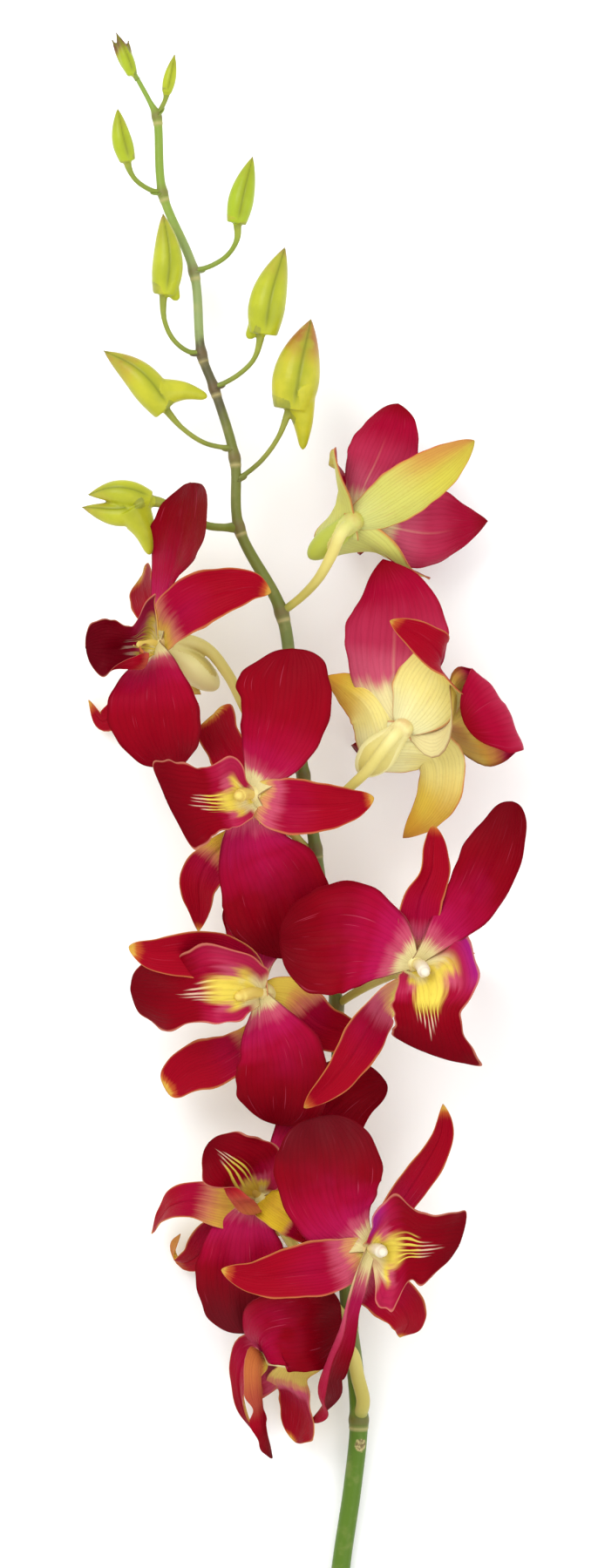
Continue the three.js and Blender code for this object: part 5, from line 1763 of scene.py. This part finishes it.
for number, bud in enumerate([*BUDS, OPENING_BUD], start=1):
    make_bud(number, bud)
print("buds:", len(BUDS) + 1)

# %% [markdown]
# ## The bracts
#
# A small dry scale sits under each stalk, where it leaves the stem. One scale is made as a curled
# sheet and set at each node by a Geometry Nodes tree, turned to follow its stalk.

# %% One bract
BRACT_LENGTH = 2.7
BRACT_DROP = 0.75  # how far its tip hangs away from the stalk
BRACT_ROWS, BRACT_COLUMNS = 14, 10
BRACT_HALF_THICKNESS = 0.12
BRACT_SMALLEST, BRACT_SEED = 0.85, 5  # each bract is scaled at random between this and full size
BRACT_BROWN = 0.3


def make_bract():
    """One scale along Y, hollow above."""
    line = [(0, 0, -0.5), (0, BRACT_LENGTH / 2, -BRACT_DROP / 2 - 0.5), (0, BRACT_LENGTH, -BRACT_DROP)]
    width = blade_width(1.5, 0.3, 0.7, 1.4)
    sheet = Sheet(line, (0, 0, 1), width, cup_left=[1.3], cup_right=[1.3], wave=0.1, frill=0.05,
                  rows=BRACT_ROWS, columns=BRACT_COLUMNS, seed=900)
    grid, _, _ = sheet_grid(sheet)
    out = grid_normals(grid) * BRACT_HALF_THICKNESS
    points = np.vstack([(grid + out).reshape(-1, 3), (grid - out).reshape(-1, 3)])
    return mesh_object("bract", points, sheet_faces(BRACT_ROWS, BRACT_COLUMNS))


# %% A tree that sets one piece at many points
def named_way(tree, name):
    node = tree.nodes.new("GeometryNodeInputNamedAttribute")
    node.data_type = "FLOAT_VECTOR"
    node.inputs["Name"].default_value = name
    return next(socket for socket in node.outputs if socket.type == "VECTOR")


def turned_along(tree, rotation, axis, way, pivot="AUTO"):
    """Turns a rotation so that one axis follows a way."""
    node = tree.nodes.new("FunctionNodeAlignRotationToVector")
    node.axis = axis
    node.pivot_axis = pivot
    if rotation is not None:
        tree.links.new(rotation, node.inputs["Rotation"])
    tree.links.new(way, node.inputs["Vector"])
    return node.outputs["Rotation"]


def setting_tree():
    tree, start, end, sockets = new_tree("set at points", {
        "Piece": "NodeSocketObject", "Smallest": "NodeSocketFloat", "Seed": "NodeSocketInt",
        "Paint": "NodeSocketMaterial"})
    piece = tree.nodes.new("GeometryNodeObjectInfo")
    size = tree.nodes.new("FunctionNodeRandomValue")
    setting = tree.nodes.new("GeometryNodeInstanceOnPoints")
    realize = tree.nodes.new("GeometryNodeRealizeInstances")
    paint = tree.nodes.new("GeometryNodeSetMaterial")
    way = turned_along(tree, None, "Y", named_way(tree, "out"))
    rotation = turned_along(tree, way, "Z", named_way(tree, "up"), "Y")
    sizes = [socket for socket in size.inputs if socket.enabled]
    number = next(socket for socket in size.outputs if socket.enabled)
    tree.links.new(start.outputs["Piece"], piece.inputs["Object"])
    tree.links.new(start.outputs["Smallest"], sizes[0])
    tree.links.new(start.outputs["Seed"], size.inputs["Seed"])
    tree.links.new(piece.outputs["Geometry"], setting.inputs["Instance"])
    tree.links.new(rotation, setting.inputs["Rotation"])
    tree.links.new(number, setting.inputs["Scale"])
    tree.links.new(start.outputs["Geometry"], setting.inputs["Points"])
    tree.links.new(start.outputs["Paint"], paint.inputs["Material"])
    chain(tree, setting, realize, paint, end)
    return tree, sockets


# %% The bracts at the nodes
def bract_points():
    """The stalks' feet, with the way of each stalk and the way that its bract's hollow looks."""
    stalks = [bud["stalk"] for bud in [*BUDS[1:], OPENING_BUD, *FLOWERS]]
    feet = np.array([stalk[0] for stalk in stalks], dtype=float)
    out = unit(np.array([stalk[1] for stalk in stalks]) - feet)
    up = -np.array([squared((0, -1, -0.4), way) for way in out])
    piece = mesh_object("bracts", feet, [])
    for name, ways in {"out": out, "up": up}.items():
        attribute = piece.data.attributes.new(name, "FLOAT_VECTOR", "POINT")
        attribute.data.foreach_set("vector", ways.ravel())
    write_note(piece.data, "along", nearest_share(stem_path, feet, 600))
    write_note(piece.data, "ring", np.full(len(feet), BRACT_BROWN))
    return piece


def make_bracts():
    bract, piece = make_bract(), bract_points()
    tree, sockets = setting_tree()
    modifier = piece.modifiers.new("bracts", "NODES")
    modifier.node_group = tree
    modifier[sockets["Piece"]] = bract
    modifier[sockets["Smallest"]] = BRACT_SMALLEST
    modifier[sockets["Seed"]] = BRACT_SEED
    modifier[sockets["Paint"]] = stem_paint
    applied(piece)
    bpy.data.objects.remove(bract)
    finish_piece(piece, ["stem"], stem_paint)
    print("faces of the bracts:", len(piece.data.polygons))


make_bracts()

# %% [markdown]
# ## The table and the light
#
# The photograph has a clean white ground and soft light with no hard shadow. A wide pale table, a
# bright even sky and two large soft lamps give the same.

# %% The table
TABLE_REACH = 3000.0  # from the middle of the table to its edges
TABLE_WHITE = (0.96, 0.96, 0.96, 1)
SKY_STRENGTH = 1.2
LAMP_AIM = (0, 0, 20)


def make_table():
    corners = np.array([(-1, -1, 0), (1, -1, 0), (1, 1, 0), (-1, 1, 0)]) * TABLE_REACH
    table = mesh_object("table", corners, [(0, 1, 2, 3)])
    paint = Paint("table white")
    paint.set(base_color=TABLE_WHITE, roughness=0.9)
    table.data.materials.append(paint.material)


def soft_lamp(name, place, size, power):
    data = bpy.data.lights.new(name, "AREA")
    data.shape = "SQUARE"
    data.size = size * MM
    data.energy = power
    lamp = bpy.data.objects.new(name, data)
    lamp.location = vec(place) * MM
    way = vec(LAMP_AIM) - vec(place)
    tilt = math.atan2(math.hypot(way[0], way[1]), -way[2])
    lamp.rotation_euler = (tilt, 0, math.atan2(way[0], -way[1]) + math.pi)
    bpy.context.scene.collection.objects.link(lamp)


def make_sky():
    world = bpy.data.worlds.new("sky")
    world.use_nodes = True
    light = world.node_tree.nodes["Background"]
    light.inputs["Color"].default_value = (1, 1, 1, 1)
    light.inputs["Strength"].default_value = SKY_STRENGTH
    bpy.context.scene.world = world


make_table()
make_sky()
soft_lamp("key", (-600, 700, 1300), 900, 10.0)
soft_lamp("fill", (900, -300, 1200), 1000, 4.0)
bpy.context.scene.view_settings.view_transform = "Standard"

# %% The sizes, and the end
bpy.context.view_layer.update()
meshes = [piece.data for piece in bpy.data.objects if piece.type == "MESH"]
print("triangles:", sum(len(face.vertices) - 2 for mesh in meshes for face in mesh.polygons))
